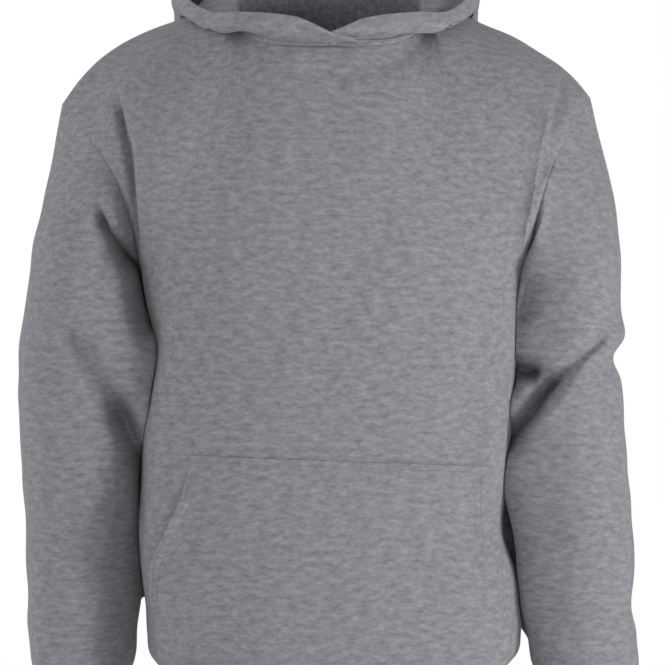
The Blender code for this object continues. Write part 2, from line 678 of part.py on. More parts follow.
def main():
    for old in list(bpy.data.objects):
        bpy.data.objects.remove(old)
    into = collection()
    front, back = panel("front"), panel("back")
    front = pressed("front_panel", front, ring_normals(front, False))
    sheets = {
        "front_panel": Sheet(front, False),
        "back_panel": Sheet(back, False),
    }
    body = tree_of(np.concatenate([front, back[:, 1:-1]], axis=1), True)
    for side in ("right", "left"):
        grid = clear_of(sleeve(side), body, SLEEVE_CLEAR, skip_rows=2)
        flipped = grid[:, ::-1] if side == "right" else grid
        grid = pressed(f"sleeve_{side}", flipped, ring_normals(flipped, True))
        sheets[f"sleeve_{side}"] = Sheet(grid, True)
    for side in ("left", "right"):
        grid = clear_of(hood_half(side), body, HOOD_CLEAR, skip_rows=1)
        sewn = ("bottom", "first" if side == "right" else "last")
        sheets[f"hood_{side}"] = Sheet(grid, False, sewn, hood_thickness())
    joined = mitres(sheets)
    for name, sheet in sheets.items():
        outer, inner = sheet_walls(sheet, joined)
        wall(name, outer, inner, sheet.closed, into)
    pocket(sheets["front_panel"].grid, sheets["front_panel"].normals, into)
    ribbed_tube("hem_band", hem_ring, rib_heights(BODY[0][0], HEM_LENGTH), HEM_RIBS, into)
    for side in ("right", "left"):
        heights = rib_heights(SLEEVE[side][-1][0], CUFF_LENGTH)
        ribbed_tube(f"cuff_{side}", functools.partial(cuff_ring, side), heights, CUFF_RIBS, into)


main()
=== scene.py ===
"""Dresses a pullover hoodie in heather fleece: cloth, ribs, folds and stitching on its solids.

Laid out as a Blender add-on and run as a script. Metres, +Z up, the wearer faces -Y and the
wearer's left is +X.
"""

import functools
import math

import bpy
import numpy as np
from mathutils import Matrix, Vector
from mathutils.bvhtree import BVHTree


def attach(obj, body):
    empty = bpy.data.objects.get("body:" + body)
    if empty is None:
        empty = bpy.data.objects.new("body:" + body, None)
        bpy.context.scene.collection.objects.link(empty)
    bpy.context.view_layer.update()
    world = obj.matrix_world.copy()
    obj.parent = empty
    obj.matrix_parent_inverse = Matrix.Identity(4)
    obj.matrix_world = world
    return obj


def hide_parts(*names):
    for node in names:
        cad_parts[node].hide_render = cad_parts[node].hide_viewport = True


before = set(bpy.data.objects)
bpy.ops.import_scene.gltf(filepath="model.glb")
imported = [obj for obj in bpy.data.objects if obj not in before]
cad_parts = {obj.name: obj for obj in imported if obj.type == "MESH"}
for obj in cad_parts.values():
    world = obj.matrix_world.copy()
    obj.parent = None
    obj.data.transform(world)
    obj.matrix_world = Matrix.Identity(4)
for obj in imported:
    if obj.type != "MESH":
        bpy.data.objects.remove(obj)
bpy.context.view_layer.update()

bl_info = {
    "name": "Pullover hoodie",
    "version": (1, 0, 0),
    "blender": (4, 5, 0),
    "location": "3D View > Sidebar > Hoodie",
    "description": "Sews a heather fleece pullover hoodie on its solid pattern pieces",
    "category": "Object",
}

# The pattern, in metres. Its tables and its named sizes are those of the solids.

HOOD_HEM = 0.0044
CLOTH_CLEAR = 0.0012
SEAM_GAP = 0.0003
INSIDE_SLANT = 0.4
DEEPEST = 0.03
SHOULDER_SPANS = 5
NECK_SPANS = 12
PANEL_SPANS = 2 * SHOULDER_SPANS + NECK_SPANS
ARMHOLE_SPANS = 9
BODY_SQUARENESS = 2.5
SLEEVE_SQUARENESS = 2.2
SIDE_SEAM_Y = 0.002
HEAD_FADE = 4
NECK_BLEND = 0.7  # less takes the neck's way sooner beside the shoulders
SHOULDER_RISE = 0.1  # the cloth's slope where it reaches the shoulder seam
NECK_LEAN, NECK_RISE = 0.42, 0.9  # its way, over and up, where it reaches the neck seam
TOP_PULL = 0.95  # how strongly those ways bend the cloth below
ARMHOLE_PULL = 0.34  # share of a panel's width over which its armhole shapes it
HOOD_ROWS = 14
HOOD_START = -15  # each half of the hood begins past the throat, at this turn
HOOD_SPANS = 13  # and has this many spans from there to the nape
HOOD_CLEAR = 0.006
SLEEVE_CLEAR = 0.0010
COLUMN_OF = {"right": 0, "left": 1}  # where a table has a column for each side of the wearer
HEM_LENGTH = 0.065
CUFF_LENGTH = 0.065

# The body's rings from the hem seam up to the underarms. Columns: height, the wearer's right side,
# the wearer's left side, front, back.
BODY = (
    (-0.650, -0.170, 0.176, -0.114, 0.120),
    (-0.638, -0.181, 0.188, -0.124, 0.130),
    (-0.614, -0.1855, 0.1935, -0.130, 0.135),
    (-0.588, -0.187, 0.192, -0.132, 0.136),
    (-0.555, -0.1915, 0.189, -0.132, 0.135),
    (-0.512, -0.194, 0.1755, -0.131, 0.133),
    (-0.470, -0.192, 0.179, -0.130, 0.131),
    (-0.425, -0.190, 0.183, -0.129, 0.130),
    (-0.373, -0.1835, 0.187, -0.129, 0.130),
    (-0.317, -0.178, 0.191, -0.130, 0.133),
    (-0.275, -0.187, 0.194, -0.132, 0.138),
    (-0.244, -0.192, 0.198, -0.133, 0.142),
)

# The armholes from the shoulder point (0) to the underarm (1). Columns: place, distance out, height,
# front edge, back edge.
ARMHOLE = {
    "right": (
        (0.00, 0.272, -0.079, 0.004, 0.004),
        (0.20, 0.247, -0.107, -0.040, 0.046),
        (0.45, 0.220, -0.145, -0.067, 0.075),
        (0.70, 0.204, -0.185, -0.062, 0.069),
        (0.88, 0.196, -0.218, -0.036, 0.040),
        (1.00, 0.192, -0.244, 0.002, 0.002),
    ),
    "left": (
        (0.00, 0.264, -0.072, 0.004, 0.004),
        (0.20, 0.246, -0.101, -0.040, 0.046),
        (0.45, 0.223, -0.141, -0.067, 0.075),
        (0.70, 0.209, -0.183, -0.062, 0.069),
        (0.88, 0.202, -0.217, -0.036, 0.040),
        (1.00, 0.198, -0.244, 0.002, 0.002),
    ),
}

# The line of the shoulder seams. Columns: distance out, height.
SHOULDER = {
    "right": (
        (0.100, 0.021), (0.130, 0.014), (0.161, 0.004), (0.190, -0.007), (0.215, -0.020),
        (0.240, -0.039), (0.258, -0.059), (0.272, -0.079),
    ),
    "left": (
        (0.100, 0.021), (0.130, 0.013), (0.158, 0.001), (0.187, -0.011), (0.212, -0.026),
        (0.235, -0.041), (0.252, -0.057), (0.264, -0.072),
    ),
}

# The neck seam from the throat (0 degrees) to the nape (180). Columns: turn, out, depth, height.
NECK = (
    (-20, -0.034, -0.090, -0.0255),
    (0, 0.000, -0.092, -0.026),
    (22, 0.037, -0.090, -0.0255),
    (45, 0.068, -0.078, -0.021),
    (65, 0.088, -0.054, -0.009),
    (80, 0.097, -0.027, 0.009),
    (90, 0.100, -0.006, 0.021),
    (110, 0.095, 0.024, 0.030),
    (135, 0.072, 0.048, 0.034),
    (160, 0.034, 0.061, 0.035),
    (180, 0.000, 0.063, 0.035),
)

# Each half of the hood, read round the neck, as the profile of its cloth from the neck seam to the
# rim. Columns: turn round the neck, direction outward (both in degrees from the throat), then
# distance out and height of the stand, the slope, the fold at the bottom, the wall and the rim.
HOOD = (
    (0, 0, 0.001, -0.0230, 0.004, -0.0205, 0.008, -0.0190, 0.0110, -0.0140, 0.010, -0.007),
    (22, 41, 0.001, -0.0210, 0.006, -0.0170, 0.011, -0.0145, 0.0150, -0.0060, 0.013, 0.003),
    (45, 66, 0.000, -0.0150, 0.010, -0.0130, 0.020, -0.0115, 0.0250, -0.0020, 0.022, 0.008),
    (65, 84, -0.002, -0.0020, 0.013, -0.0030, 0.030, -0.0090, 0.0370, 0.0010, 0.034, 0.011),
    (80, 93, -0.004, 0.0160, 0.018, 0.0130, 0.044, 0.0030, 0.0530, 0.0140, 0.050, 0.026),
    (90, 99, -0.005, 0.0300, 0.020, 0.0250, 0.050, 0.0070, 0.0600, 0.0220, 0.057, 0.038),
    (110, 112, -0.005, 0.0400, 0.026, 0.0320, 0.060, -0.0100, 0.0730, 0.0160, 0.069, 0.048),
    (125, 130, -0.004, 0.0450, 0.034, 0.0240, 0.072, -0.0720, 0.0940, -0.0250, 0.084, 0.052),
    (140, 146, -0.004, 0.0470, 0.042, 0.0100, 0.082, -0.1360, 0.1100, -0.0600, 0.094, 0.053),
    (160, 165, -0.004, 0.0480, 0.048, -0.0100, 0.090, -0.1750, 0.1200, -0.0800, 0.102, 0.052),
    (180, 180, -0.004, 0.0480, 0.052, -0.0200, 0.092, -0.1880, 0.1230, -0.0880, 0.105, 0.050),
)
HOOD_TAPER = ((-15, 0.42), (0, 0.78), (15, 1.0), (180, 1.0))  # turn, share of the profile left
HOOD_LAP = ((-15, 1.0), (15, 1.0), (30, 0.5), (45, 0.0), (180, 0.0))  # turn, share of the lap
# How far each half stands out, as a share of its profile. Columns: turn, wearer's right, wearer's left.
HOOD_SPREAD = ((-15, 1, 1), (45, 1, 1), (80, 0.97, 0.84), (110, 0.97, 0.84), (150, 1, 1), (180, 1, 1))

# The sleeves, ring by ring from the armhole down. Columns: height and distance out on the outer
# side, height and distance out on the inner side, front, back.
SLEEVE = {
    "right": (
        (-0.079, 0.272, -0.244, 0.1920, -0.068, 0.076),
        (-0.120, 0.280, -0.258, 0.1940, -0.078, 0.086),
        (-0.155, 0.287, -0.272, 0.1920, -0.081, 0.089),
        (-0.190, 0.294, -0.289, 0.1885, -0.082, 0.089),
        (-0.225, 0.301, -0.308, 0.1845, -0.081, 0.087),
        (-0.260, 0.306, -0.328, 0.1830, -0.079, 0.084),
        (-0.295, 0.310, -0.349, 0.1845, -0.077, 0.080),
        (-0.330, 0.315, -0.371, 0.1870, -0.075, 0.075),
        (-0.362, 0.316, -0.393, 0.1895, -0.073, 0.070),
        (-0.394, 0.315, -0.417, 0.1925, -0.072, 0.065),
        (-0.426, 0.314, -0.442, 0.1945, -0.071, 0.061),
        (-0.458, 0.312, -0.469, 0.1960, -0.070, 0.057),
        (-0.490, 0.310, -0.497, 0.1975, -0.069, 0.053),
        (-0.522, 0.309, -0.526, 0.1975, -0.068, 0.050),
        (-0.554, 0.308, -0.556, 0.1955, -0.067, 0.047),
        (-0.586, 0.307, -0.587, 0.1930, -0.066, 0.044),
        (-0.614, 0.306, -0.614, 0.1970, -0.064, 0.042),
        (-0.636, 0.305, -0.636, 0.1990, -0.063, 0.041),
        (-0.652, 0.301, -0.652, 0.2030, -0.060, 0.038),
        (-0.663, 0.293, -0.663, 0.2110, -0.053, 0.031),
        (-0.668, 0.286, -0.668, 0.2180, -0.046, 0.024),
    ),
    "left": (
        (-0.072, 0.264, -0.244, 0.1980, -0.068, 0.076),
        (-0.113, 0.274, -0.258, 0.1995, -0.077, 0.086),
        (-0.149, 0.283, -0.273, 0.1980, -0.080, 0.089),
        (-0.185, 0.289, -0.290, 0.1965, -0.081, 0.089),
        (-0.220, 0.294, -0.309, 0.1950, -0.080, 0.087),
        (-0.256, 0.295, -0.329, 0.1935, -0.078, 0.084),
        (-0.290, 0.295, -0.349, 0.1925, -0.076, 0.080),
        (-0.314, 0.298, -0.369, 0.1910, -0.075, 0.075),
        (-0.335, 0.287, -0.388, 0.1895, -0.072, 0.070),
        (-0.358, 0.295, -0.407, 0.1880, -0.072, 0.066),
        (-0.388, 0.298, -0.429, 0.1865, -0.071, 0.062),
        (-0.424, 0.300, -0.455, 0.1860, -0.070, 0.058),
        (-0.460, 0.303, -0.482, 0.1900, -0.069, 0.054),
        (-0.496, 0.306, -0.510, 0.1970, -0.068, 0.051),
        (-0.528, 0.308, -0.538, 0.2000, -0.067, 0.047),
        (-0.560, 0.308, -0.567, 0.2000, -0.066, 0.045),
        (-0.592, 0.306, -0.596, 0.2000, -0.064, 0.043),
        (-0.618, 0.311, -0.620, 0.2010, -0.065, 0.042),
        (-0.646, 0.313, -0.646, 0.2050, -0.062, 0.040),
        (-0.660, 0.303, -0.660, 0.2140, -0.054, 0.032),
        (-0.666, 0.295, -0.666, 0.2270, -0.046, 0.024),
    ),
}

# How far a sleeve's inner back corner reaches in behind the body. Columns: height, wearer's right,
# wearer's left.
TUCK = (
    (-0.244, 0.000, 0.000),
    (-0.272, 0.018, 0.018),
    (-0.295, 0.028, 0.028),
    (-0.425, 0.028, 0.030),
    (-0.470, 0.028, 0.040),
    (-0.512, 0.028, 0.046),
    (-0.545, 0.028, 0.040),
    (-0.575, 0.018, 0.034),
    (-0.595, 0.004, 0.032),
    (-0.615, 0.000, 0.018),
    (-0.635, 0.000, 0.000),
)
TUCK_TURN = math.radians(230)  # where that corner lies on the sleeve's ring
TUCK_SPREAD = math.radians(50)

# How far a sleeve's inner front corner lies against the body's side. Columns: height, wearer's right,
# wearer's left.
HUG = (
    (-0.120, 0.000, 0.000),
    (-0.160, 0.000, 0.000),
    (-0.205, 0.000, 0.004),
    (-0.250, 0.000, 0.012),
    (-0.300, 0.008, 0.017),
    (-0.335, 0.016, 0.017),
    (-0.355, 0.018, 0.010),
    (-0.385, 0.020, 0.020),
    (-0.410, 0.018, 0.012),
    (-0.440, 0.006, 0.020),
    (-0.475, 0.006, 0.018),
    (-0.510, 0.012, 0.016),
    (-0.560, 0.010, 0.015),
    (-0.600, 0.000, 0.009),
    (-0.635, 0.000, 0.000),
)
HUG_TURN = math.radians(140)  # where it lies round the sleeve, from the outer side by the front
HUG_SPREAD = math.radians(48)
HUG_FORWARD = 0.6  # how far it comes forward, as a share of how far it reaches in
HUG_FADE = 0.025  # it begins over this distance from the armhole seam

# The kangaroo pocket's side edges. Columns: height, distance to the wearer's right and left of the
# middle, both along the cloth.
POCKET = (
    (-0.650, 0.196, 0.195),
    (-0.600, 0.198, 0.195),
    (-0.575, 0.196, 0.189),
    (-0.540, 0.181, 0.180),
    (-0.510, 0.160, 0.1745),
    (-0.482, 0.1465, 0.170),
    (-0.455, 0.140, 0.167),
    (-0.430, 0.137, 0.165),
)
POCKET_TOP = (-0.432, -0.443)  # height of the top edge at the wearer's right and left end
POCKET_MOUTH = (-0.590, -0.452)  # its openings run between these heights
POCKET_PUFF = 0.0030
POCKET_GAPE = (0.014, 0.004)  # how far its openings stand forward, at the wearer's right and left
POCKET_GAPE_WIDTH = 0.04  # as a share of the pocket's width

# Folds of the front, seen from the front. Columns: piece ("body" is front and pocket, and "all" goes
# over the seams), depth in mm (negative stands out), half width in mm on the wearer's right of the
# line and on its left, then the line as x, z in mm.
FRONT_FOLDS = (
    (
        "all", 20.0, 7, 2.0,
        (-213, -66, -209, -80, -204, -103, -198, -130, -195, -156, -193, -180, -191, -214, -190, -246),
    ),
    ("all", -12.0, 20, 16, (236, -80, 220, -124, 208, -164, 202, -206, 200, -262)),
    ("all", -15.0, 9, 8, (224, -140, 216, -160, 208, -186, 203, -210, 200, -228)),
    ("all", 5.0, 4, 10, (236, -40, 226, -88, 213, -148, 207, -176)),
    (
        "all", -2.6, 3.5, 2.5,
        (230, -40, 219, -88, 206, -148, 197, -195, 190, -251, 186, -290, 182, -351, 180, -420),
    ),
    ("all", -1.6, 3, 3, (-271, -98, -269, -120, -266, -148)),
    ("all", -1.6, 3, 3, (266, -104, 268, -140, 271, -184)),
    ("body", -15.0, 6, 22, (-176, -250, -166, -317, -171, -373, -178, -425, -182, -512, -176, -600)),
    ("body", -14.0, 22, 6, (183, -240, 180, -317, 176, -373, 172, -425, 167, -490)),
    ("body", -4.0, 8, 6, (156, -370, 157, -450, 156, -510, 160, -560)),
    ("body", 2.5, 9, 12, (172, -400, 171, -470, 168, -520)),
    ("body", 1.6, 22, 26, (-120, -60, -96, -110, -86, -160)),
    ("body", 1.4, 20, 24, (126, -52, 104, -100, 92, -150)),
    ("body", 2.6, 11, 11, (-112, -6, -59, -37, -12, -54, 39, -50, 106, -16)),
    (
        "sleeve_right", 60.0, 6, 2.2,
        (-230, -186, -224, -202, -216, -217, -207, -230, -198, -239, -190, -248),
    ),
    (
        "sleeve_right", 90.0, 11, 8,
        (-220, -206, -205, -232, -193, -248, -187, -272, -182, -300, -180, -322),
    ),
    ("sleeve_right", 17.0, 9, 12, (-268, -300, -255, -323, -232, -356, -213, -388, -196, -428)),
    (
        "sleeve_right", 60.0, 9, 14,
        (-222, -372, -209, -398, -199, -423, -192, -446, -186, -468, -181, -492),
    ),
    ("sleeve_right", 60.0, 26, 40, (-186, -452, -188, -520, -192, -580, -196, -640, -200, -780)),
    ("sleeve_right", -3.0, 14, 16, (-244, -395, -230, -440, -226, -500)),
    ("sleeve_left", 14.0, 6, 8, (206, -252, 201, -266, 197, -284, 190, -304)),
    ("sleeve_left", 80.0, 7, 7, (176, -340, 190, -346, 204, -350, 214, -352)),
    ("sleeve_left", 50.0, 11, 4, (168, -438, 188, -412, 204, -392, 221, -370, 240, -350)),
    ("sleeve_left", 9.0, 9, 4, (206, -388, 224, -366, 250, -338, 284, -306)),
    ("sleeve_left", -4.0, 10, 16, (206, -412, 230, -380, 262, -342)),
)

# The same for the back.
BACK_FOLDS = (
    ("body", 4.0, 20, 12, (-214, -90, -202, -134, -192, -180, -188, -240)),
    ("body", 4.0, 12, 20, (214, -86, 204, -130, 194, -180, 190, -240)),
    ("body", 3.0, 26, 22, (-150, -230, -110, -300, -40, -352)),
    ("body", 2.4, 20, 28, (146, -260, 96, -338, 30, -392)),
    ("body", -2.0, 26, 24, (-120, -420, -60, -452, 20, -470)),
    ("sleeve_right", 9.0, 14, 18, (-300, -330, -258, -362, -214, -420)),
    ("sleeve_right", 6.0, 12, 14, (-208, -240, -226, -300, -232, -350)),
    ("sleeve_left", 10.0, 16, 14, (296, -318, 252, -352, 204, -408)),
    ("sleeve_left", 6.0, 14, 12, (206, -232, 226, -286, 240, -330)),
    ("sleeve_right", 5.0, 20, 16, (-296, -520, -250, -548, -208, -600)),
    ("sleeve_left", 5.0, 16, 20, (298, -540, 254, -560, 212, -608)),
)

# Low wrinkles all over, as sums of slow waves. Columns: piece, height in mm, shortest and longest
# wave in mm, how much closer the waves lie up and down than across.
WRINKLES = {
    "body": (0.8, 60, 150, 0.8),
    "sleeve": (0.6, 40, 110, 1.3),
    "hood": (0.9, 30, 80, 1.2),
}
WAVES = 26  # slow waves that add up to one piece's wrinkles
WRINKLE_HOLD = 0.02  # wrinkles die away over this distance from a seam
HOLD = 0.004  # a fold dies away over this distance from a seam
FOLD_SHAPE = 1.7  # 2 is a bell, and less has a sharper bottom
FOLD_ENDS = 0.22  # share of a fold's length over which each end dies away
FOLD_PAST = 34  # the deepest folds of a sleeve reach this far past its middle, in mm

PANEL_COLUMNS = 240  # fine columns across a body panel
CROWDING = 0.6  # how far they crowd towards the armholes: 0 evenly, under 1
CHEST_SPANS = 13  # spans of a body panel from the hem seam to the underarms
ROW_FINENESS = 8  # fine rows to one span
RING_FINENESS = 9  # fine rings to one row of the sleeve table
ROUND_FINENESS = 8  # fine columns to one span round a sleeve
HOOD_FINENESS = 6  # fine rows and columns to one span of the hood
POCKET_ROWS, POCKET_COLUMNS = 72, 120
BAND_ROWS = 15
RIB_COLUMNS = 6  # fine columns to one rib
RIB_ROUNDNESS = 0.7  # 1 is a plain wave, and less is rounder on top
RIM_OUT = 0.25  # a cloth's rounded edge: how far it stands past the cloth, as a share of half its wall
RIM_LEFT = 0.8  # and how much of the wall is left there

# Topstitching: how far its nearest row lies from an edge, in metres.
SEAM_STITCH = 0.002
MOUTH_STITCH = 0.005
POCKET_TOP_STITCH = 0.006
RIM_STITCH = 0.024
STITCH_GAP = 0.0006  # between one stitch and the next
THREAD_LIFT = 0.35  # how far a stitch stands over the cloth, as a share of its thread

PATCH_STEP = (1.7, 0.9)  # how far apart two pieces lie on the flat cloth, across and up, in metres

# The stage, in metres and watts.
FLOOR_Z, FLOOR_RADIUS = -1.42, 9
FLOOR_WHITE = "#f4f4f2"
FLOOR_GLOW = 0.5
SKY_SIDE, SKY_FRONT = 1.2, 0.2  # strength of the sky's light from the wearer's right and the front
LAMPS = (
    ("key_softbox", (3.6, -1.6, -0.2), 82),
    ("left_reflector", (-3.2, -2.4, -0.2), 8),
    ("front_fill", (0.6, -3.8, -1.0), 25),
)
LAMP_SIDE = 1.4
LAMP_AIM = (0.05, 0, -0.35)
SENSOR = 36  # the camera's sensor width in mm
CAMERA_AWAY = 4.15  # from the garment's face, which lies at FACE_Y
FACE_Y = -0.06
VIEW_WIDTH = 0.665  # how much of the garment's face the picture shows
VIEW_CENTRE = (0.0025, -0.3105)  # its middle, across and up



# Reading the tables.


def along(table, keys):
    """A table's rows, read at any keys of its first column on a smooth curve through its rows."""
    table = np.asarray(table, float)
    if table[0, 0] > table[-1, 0]:
        table = table[::-1]
    knots, values = table[:, 0], table[:, 1:]
    slopes = np.gradient(values, knots, axis=0)
    at = np.clip(np.atleast_1d(np.asarray(keys, float)), knots[0], knots[-1])
    first = np.clip(np.searchsorted(knots, at) - 1, 0, len(knots) - 2)
    span = (knots[first + 1] - knots[first])[:, None]
    t = (at - knots[first])[:, None] / span
    return hermite(values[first], values[first + 1], span * slopes[first], span * slopes[first + 1], t)


def hermite(start, end, start_slope, end_slope, t):
    """The smooth way from start to end, t of the way along, leaving and arriving with these slopes."""
    return (
        (1 + 2 * t) * (1 - t) ** 2 * start
        + t * (1 - t) ** 2 * start_slope
        + t * t * (3 - 2 * t) * end
        + t * t * (t - 1) * end_slope
    )


def rounded(angle, squareness):
    """Cosine and sine of a superellipse."""
    c, s = np.cos(angle), np.sin(angle)
    power = 2 / squareness
    return np.sign(c) * np.abs(c) ** power, np.sign(s) * np.abs(s) ** power


def fade(x):
    """1 at 0 and less, 0 at 1 and more, smooth between."""
    x = np.clip(x, 0, 1)
    return 1 - x * x * (3 - 2 * x)


def unit(vectors):
    """The vectors at length 1."""
    return vectors / np.maximum(np.linalg.norm(vectors, axis=-1, keepdims=True), 1e-12)


def side_sign(side):
    """The sign of X on a side of the wearer."""
    return -1 if side == "right" else 1


def run_of(points):
    """The distance run along a line of points, at each of them."""
    return np.concatenate([[0], np.cumsum(np.linalg.norm(np.diff(points, axis=0), axis=1))])


# Surfaces. Each is a grid of points, rows by columns. The columns run so that column direction
# crossed with row direction points out of the cloth's outer face.


def body_row(height, half, angles):
    """Half a ring of the body at a height: half is "front" or "back", angles from right to left."""
    right, left, front, back = along(BODY, height)[0]
    c, s = rounded(angles, BODY_SQUARENESS)
    depth = (front if half == "front" else back) - SIDE_SEAM_Y
    x = (left + right) / 2 - (left - right) / 2 * c
    return np.stack([x, SIDE_SEAM_Y + depth * s, np.full_like(x, height)], axis=-1)


def armhole_edge(side, half, places):
    """Points of an armhole's front or back edge, at places from 0 at the shoulder to 1."""
    out, height, front, back = along(ARMHOLE[side], places).T
    return np.stack([side_sign(side) * out, front if half == "front" else back, height], axis=-1)


def neck_edge(turns):
    """Points of the neck seam. A negative turn lies on the wearer's right."""
    turns = np.asarray(turns, float)
    out, depth, height = along(NECK, np.abs(turns)).T
    return np.stack([np.sign(turns) * np.abs(out), depth, height], axis=-1)


def panel_top(half, columns):
    """The top edge of a body panel at its columns: shoulder seam, neck edge, shoulder seam."""
    turns = np.clip((columns - SHOULDER_SPANS) / NECK_SPANS, 0, 1) * 180 - 90
    if half == "back":
        turns = np.sign(turns) * (180 - np.abs(turns)) + np.where(turns == 0, 180.0, 0.0)
    points = neck_edge(turns)
    if half == "back":
        points[np.abs(turns) == 180, 0] = 0
    for side, share in (
        ("right", columns / SHOULDER_SPANS),
        ("left", (PANEL_SPANS - columns) / SHOULDER_SPANS),
    ):
        tip = armhole_edge(side, half, [0.0])[0]
        end = neck_edge([side_sign(side) * 90])[0]
        on = share < 1
        seam = tip + (end - tip) * share[on, None]
        seam[:, 2] = along(SHOULDER[side], np.abs(seam[:, 0]))[:, 0]
        points[on] = seam
    return points


def panel(half):
    """Front or back of the body, from the hem seam to the shoulder and neck seams."""
    share = np.linspace(0, 1, PANEL_COLUMNS + 1)
    columns = PANEL_SPANS * (share - CROWDING * np.sin(2 * math.pi * share) / (2 * math.pi))
    angles = columns / PANEL_SPANS * math.pi
    heights = np.linspace(BODY[0][0], BODY[-1][0], CHEST_SPANS * ROW_FINENESS + 1)
    rows = [body_row(height, half, angles) for height in heights]
    chest, top = rows[-1], panel_top(half, columns)
    toward = 1 if half == "front" else -1  # the way over the shoulder
    neckward = np.clip((columns - SHOULDER_SPANS) / NECK_SPANS, 0, 1)
    neckward = np.maximum(np.sin(math.pi * neckward), 0)[:, None] ** NECK_BLEND
    over_shoulder = np.array([0, toward * 1.0, SHOULDER_RISE])
    up_neck = np.array([0, toward * NECK_LEAN, NECK_RISE])
    reach = np.linalg.norm(top - chest, axis=1, keepdims=True)
    end_slope = unit(over_shoulder * (1 - neckward) + up_neck * neckward) * reach * TOP_PULL
    start_slope = np.array([0, 0, 1.0]) * reach
    edge_share = columns / PANEL_SPANS
    steps = ARMHOLE_SPANS * ROW_FINENESS
    for step in range(1, steps + 1):
        t = step / steps
        row = hermite(chest, top, start_slope, end_slope, t)
        for side, share in (("right", edge_share), ("left", 1 - edge_share)):
            end = 0 if side == "right" else -1
            missed = armhole_edge(side, half, [1 - t])[0] - row[end]
            row = row + fade(share / ARMHOLE_PULL)[:, None] * missed
        rows.append(row)
    rows[-1] = top
    grid = np.array(rows)
    return grid if half == "front" else grid[:, ::-1]


def sleeve(side):
    """Rings from the armhole down, counterclockwise seen from above."""
    table = np.column_stack([np.arange(len(SLEEVE[side])), SLEEVE[side]])
    places = np.linspace(0, len(table) - 1, (len(table) - 1) * RING_FINENESS + 1)
    around = 2 * ARMHOLE_SPANS * ROUND_FINENESS
    angles = np.arange(around) * 2 * math.pi / around
    c, s = rounded(angles, SLEEVE_SQUARENESS)
    rings = []
    for z_out, x_out, z_in, x_in, front, back in along(table, places):
        x = side_sign(side) * ((x_out + x_in) / 2 + (x_out - x_in) / 2 * c)
        y = np.where(s > 0, -front, back) * -s
        z = (z_out + z_in) / 2 + (z_out - z_in) / 2 * c
        corner = fade(np.abs(angles - TUCK_TURN) / TUCK_SPREAD)
        x -= side_sign(side) * corner * along(TUCK, z_in)[0, COLUMN_OF[side]]
        rings.append(np.stack([x, y + SIDE_SEAM_Y, z], axis=-1))
    shares = np.linspace(0, 1, ARMHOLE_SPANS * ROUND_FINENESS + 1)
    head = np.concatenate(
        [armhole_edge(side, "front", shares), armhole_edge(side, "back", shares)[1:-1][::-1]]
    )
    missed = head - rings[0]
    grid = np.array([ring + fade(k / HEAD_FADE) * missed for k, ring in zip(places, rings)])
    return grid[:, ::-1] if side == "right" else grid


def hood_thickness(fleece):
    """The hood's wall, row by row, doubled at the rim."""
    rows = np.arange(HOOD_ROWS * HOOD_FINENESS + 1) / HOOD_FINENESS
    return np.interp(rows, [HOOD_ROWS - 3, HOOD_ROWS - 1], [fleece, HOOD_HEM])[:, None]


def hood_half(side, fleece):
    """Half the hood: rows from the neck seam to the rim. The wearer's right half laps over."""
    turns = np.linspace(HOOD_START, 180, HOOD_SPANS * HOOD_FINENESS + 1)
    columns = []
    for turn in turns:
        outward, *profile = along(HOOD, abs(turn))[0]
        outward = math.radians(math.copysign(outward, turn))
        seam = neck_edge([turn])[0]
        points = np.array([(0.0, seam[2]), *zip(profile[::2], profile[1::2], strict=True)])
        lengths = np.linalg.norm(np.diff(points, axis=0), axis=1)
        run = np.concatenate([[0], np.cumsum(np.sqrt(lengths))])
        share = np.interp(turn, *np.transpose(HOOD_TAPER))
        keyed = np.column_stack([run / run[-1], points])
        out, height = along(keyed, np.linspace(0, share, HOOD_ROWS * HOOD_FINENESS + 1)).T
        out = out * along(HOOD_SPREAD, abs(turn))[0, COLUMN_OF[side]]
        spot = seam[:2] + out[:, None] * np.array([math.sin(outward), -math.cos(outward)])
        columns.append(np.column_stack([spot, height]))
    grid = np.array(columns).transpose(1, 0, 2)
    if side == "left":
        return grid
    lap = np.interp(turns, *np.transpose(HOOD_LAP)) * (hood_thickness(fleece) + CLOTH_CLEAR)
    out = ring_normals(grid, False)
    out[0, :, 2] = 0
    grid = grid + out * lap[..., None]
    return grid[:, ::-1] * np.array([-1, 1, 1])


def ring_normals(grid, closed):
    """Outward unit normals of a grid. closed says that its last column meets its first."""
    if closed:
        padded = np.concatenate([grid[:, -1:], grid, grid[:, :1]], axis=1)
        across = padded[:, 2:] - padded[:, :-2]
    else:
        across = np.gradient(grid, axis=1)
    return unit(np.cross(across, np.gradient(grid, axis=0)))


def tree_of(grid, closed):
    """A tree of a grid's faces, for measuring to them."""
    rows, columns = grid.shape[:2]
    quads = grid_faces(rows, columns if closed else columns - 1, columns)
    return BVHTree.FromPolygons(grid.reshape(-1, 3).tolist(), quads.tolist())


def grid_faces(rows, spans, columns):
    """The four corners of every face of a grid, counterclockwise from outside."""
    r, c = np.mgrid[0 : rows - 1, 0:spans]
    low, high, after = r * columns, (r + 1) * columns, (c + 1) % columns
    return np.stack([low + c, low + after, high + after, high + c], axis=-1).reshape(-1, 4)


def clear_of(grid, under, gap, skip_rows=0):
    """The grid moved off a surface under it, wherever it lies inside it or nearer than gap."""
    moved = grid.copy()
    for index in np.ndindex(*grid.shape[:2]):
        if index[0] < skip_rows:
            continue
        found, normal, _, distance = under.find_nearest(Vector(grid[index]))
        away = Vector(grid[index]) - found
        height = away.dot(normal)
        slant = (away - normal * height).length
        if -DEEPEST < height < 0 and slant < INSIDE_SLANT * -height:
            moved[index] = np.array(found + normal * gap)
        elif distance < gap and height > 0:
            moved[index] = np.array(found + away.normalized() * gap)
    return moved


# Folds and wrinkles.


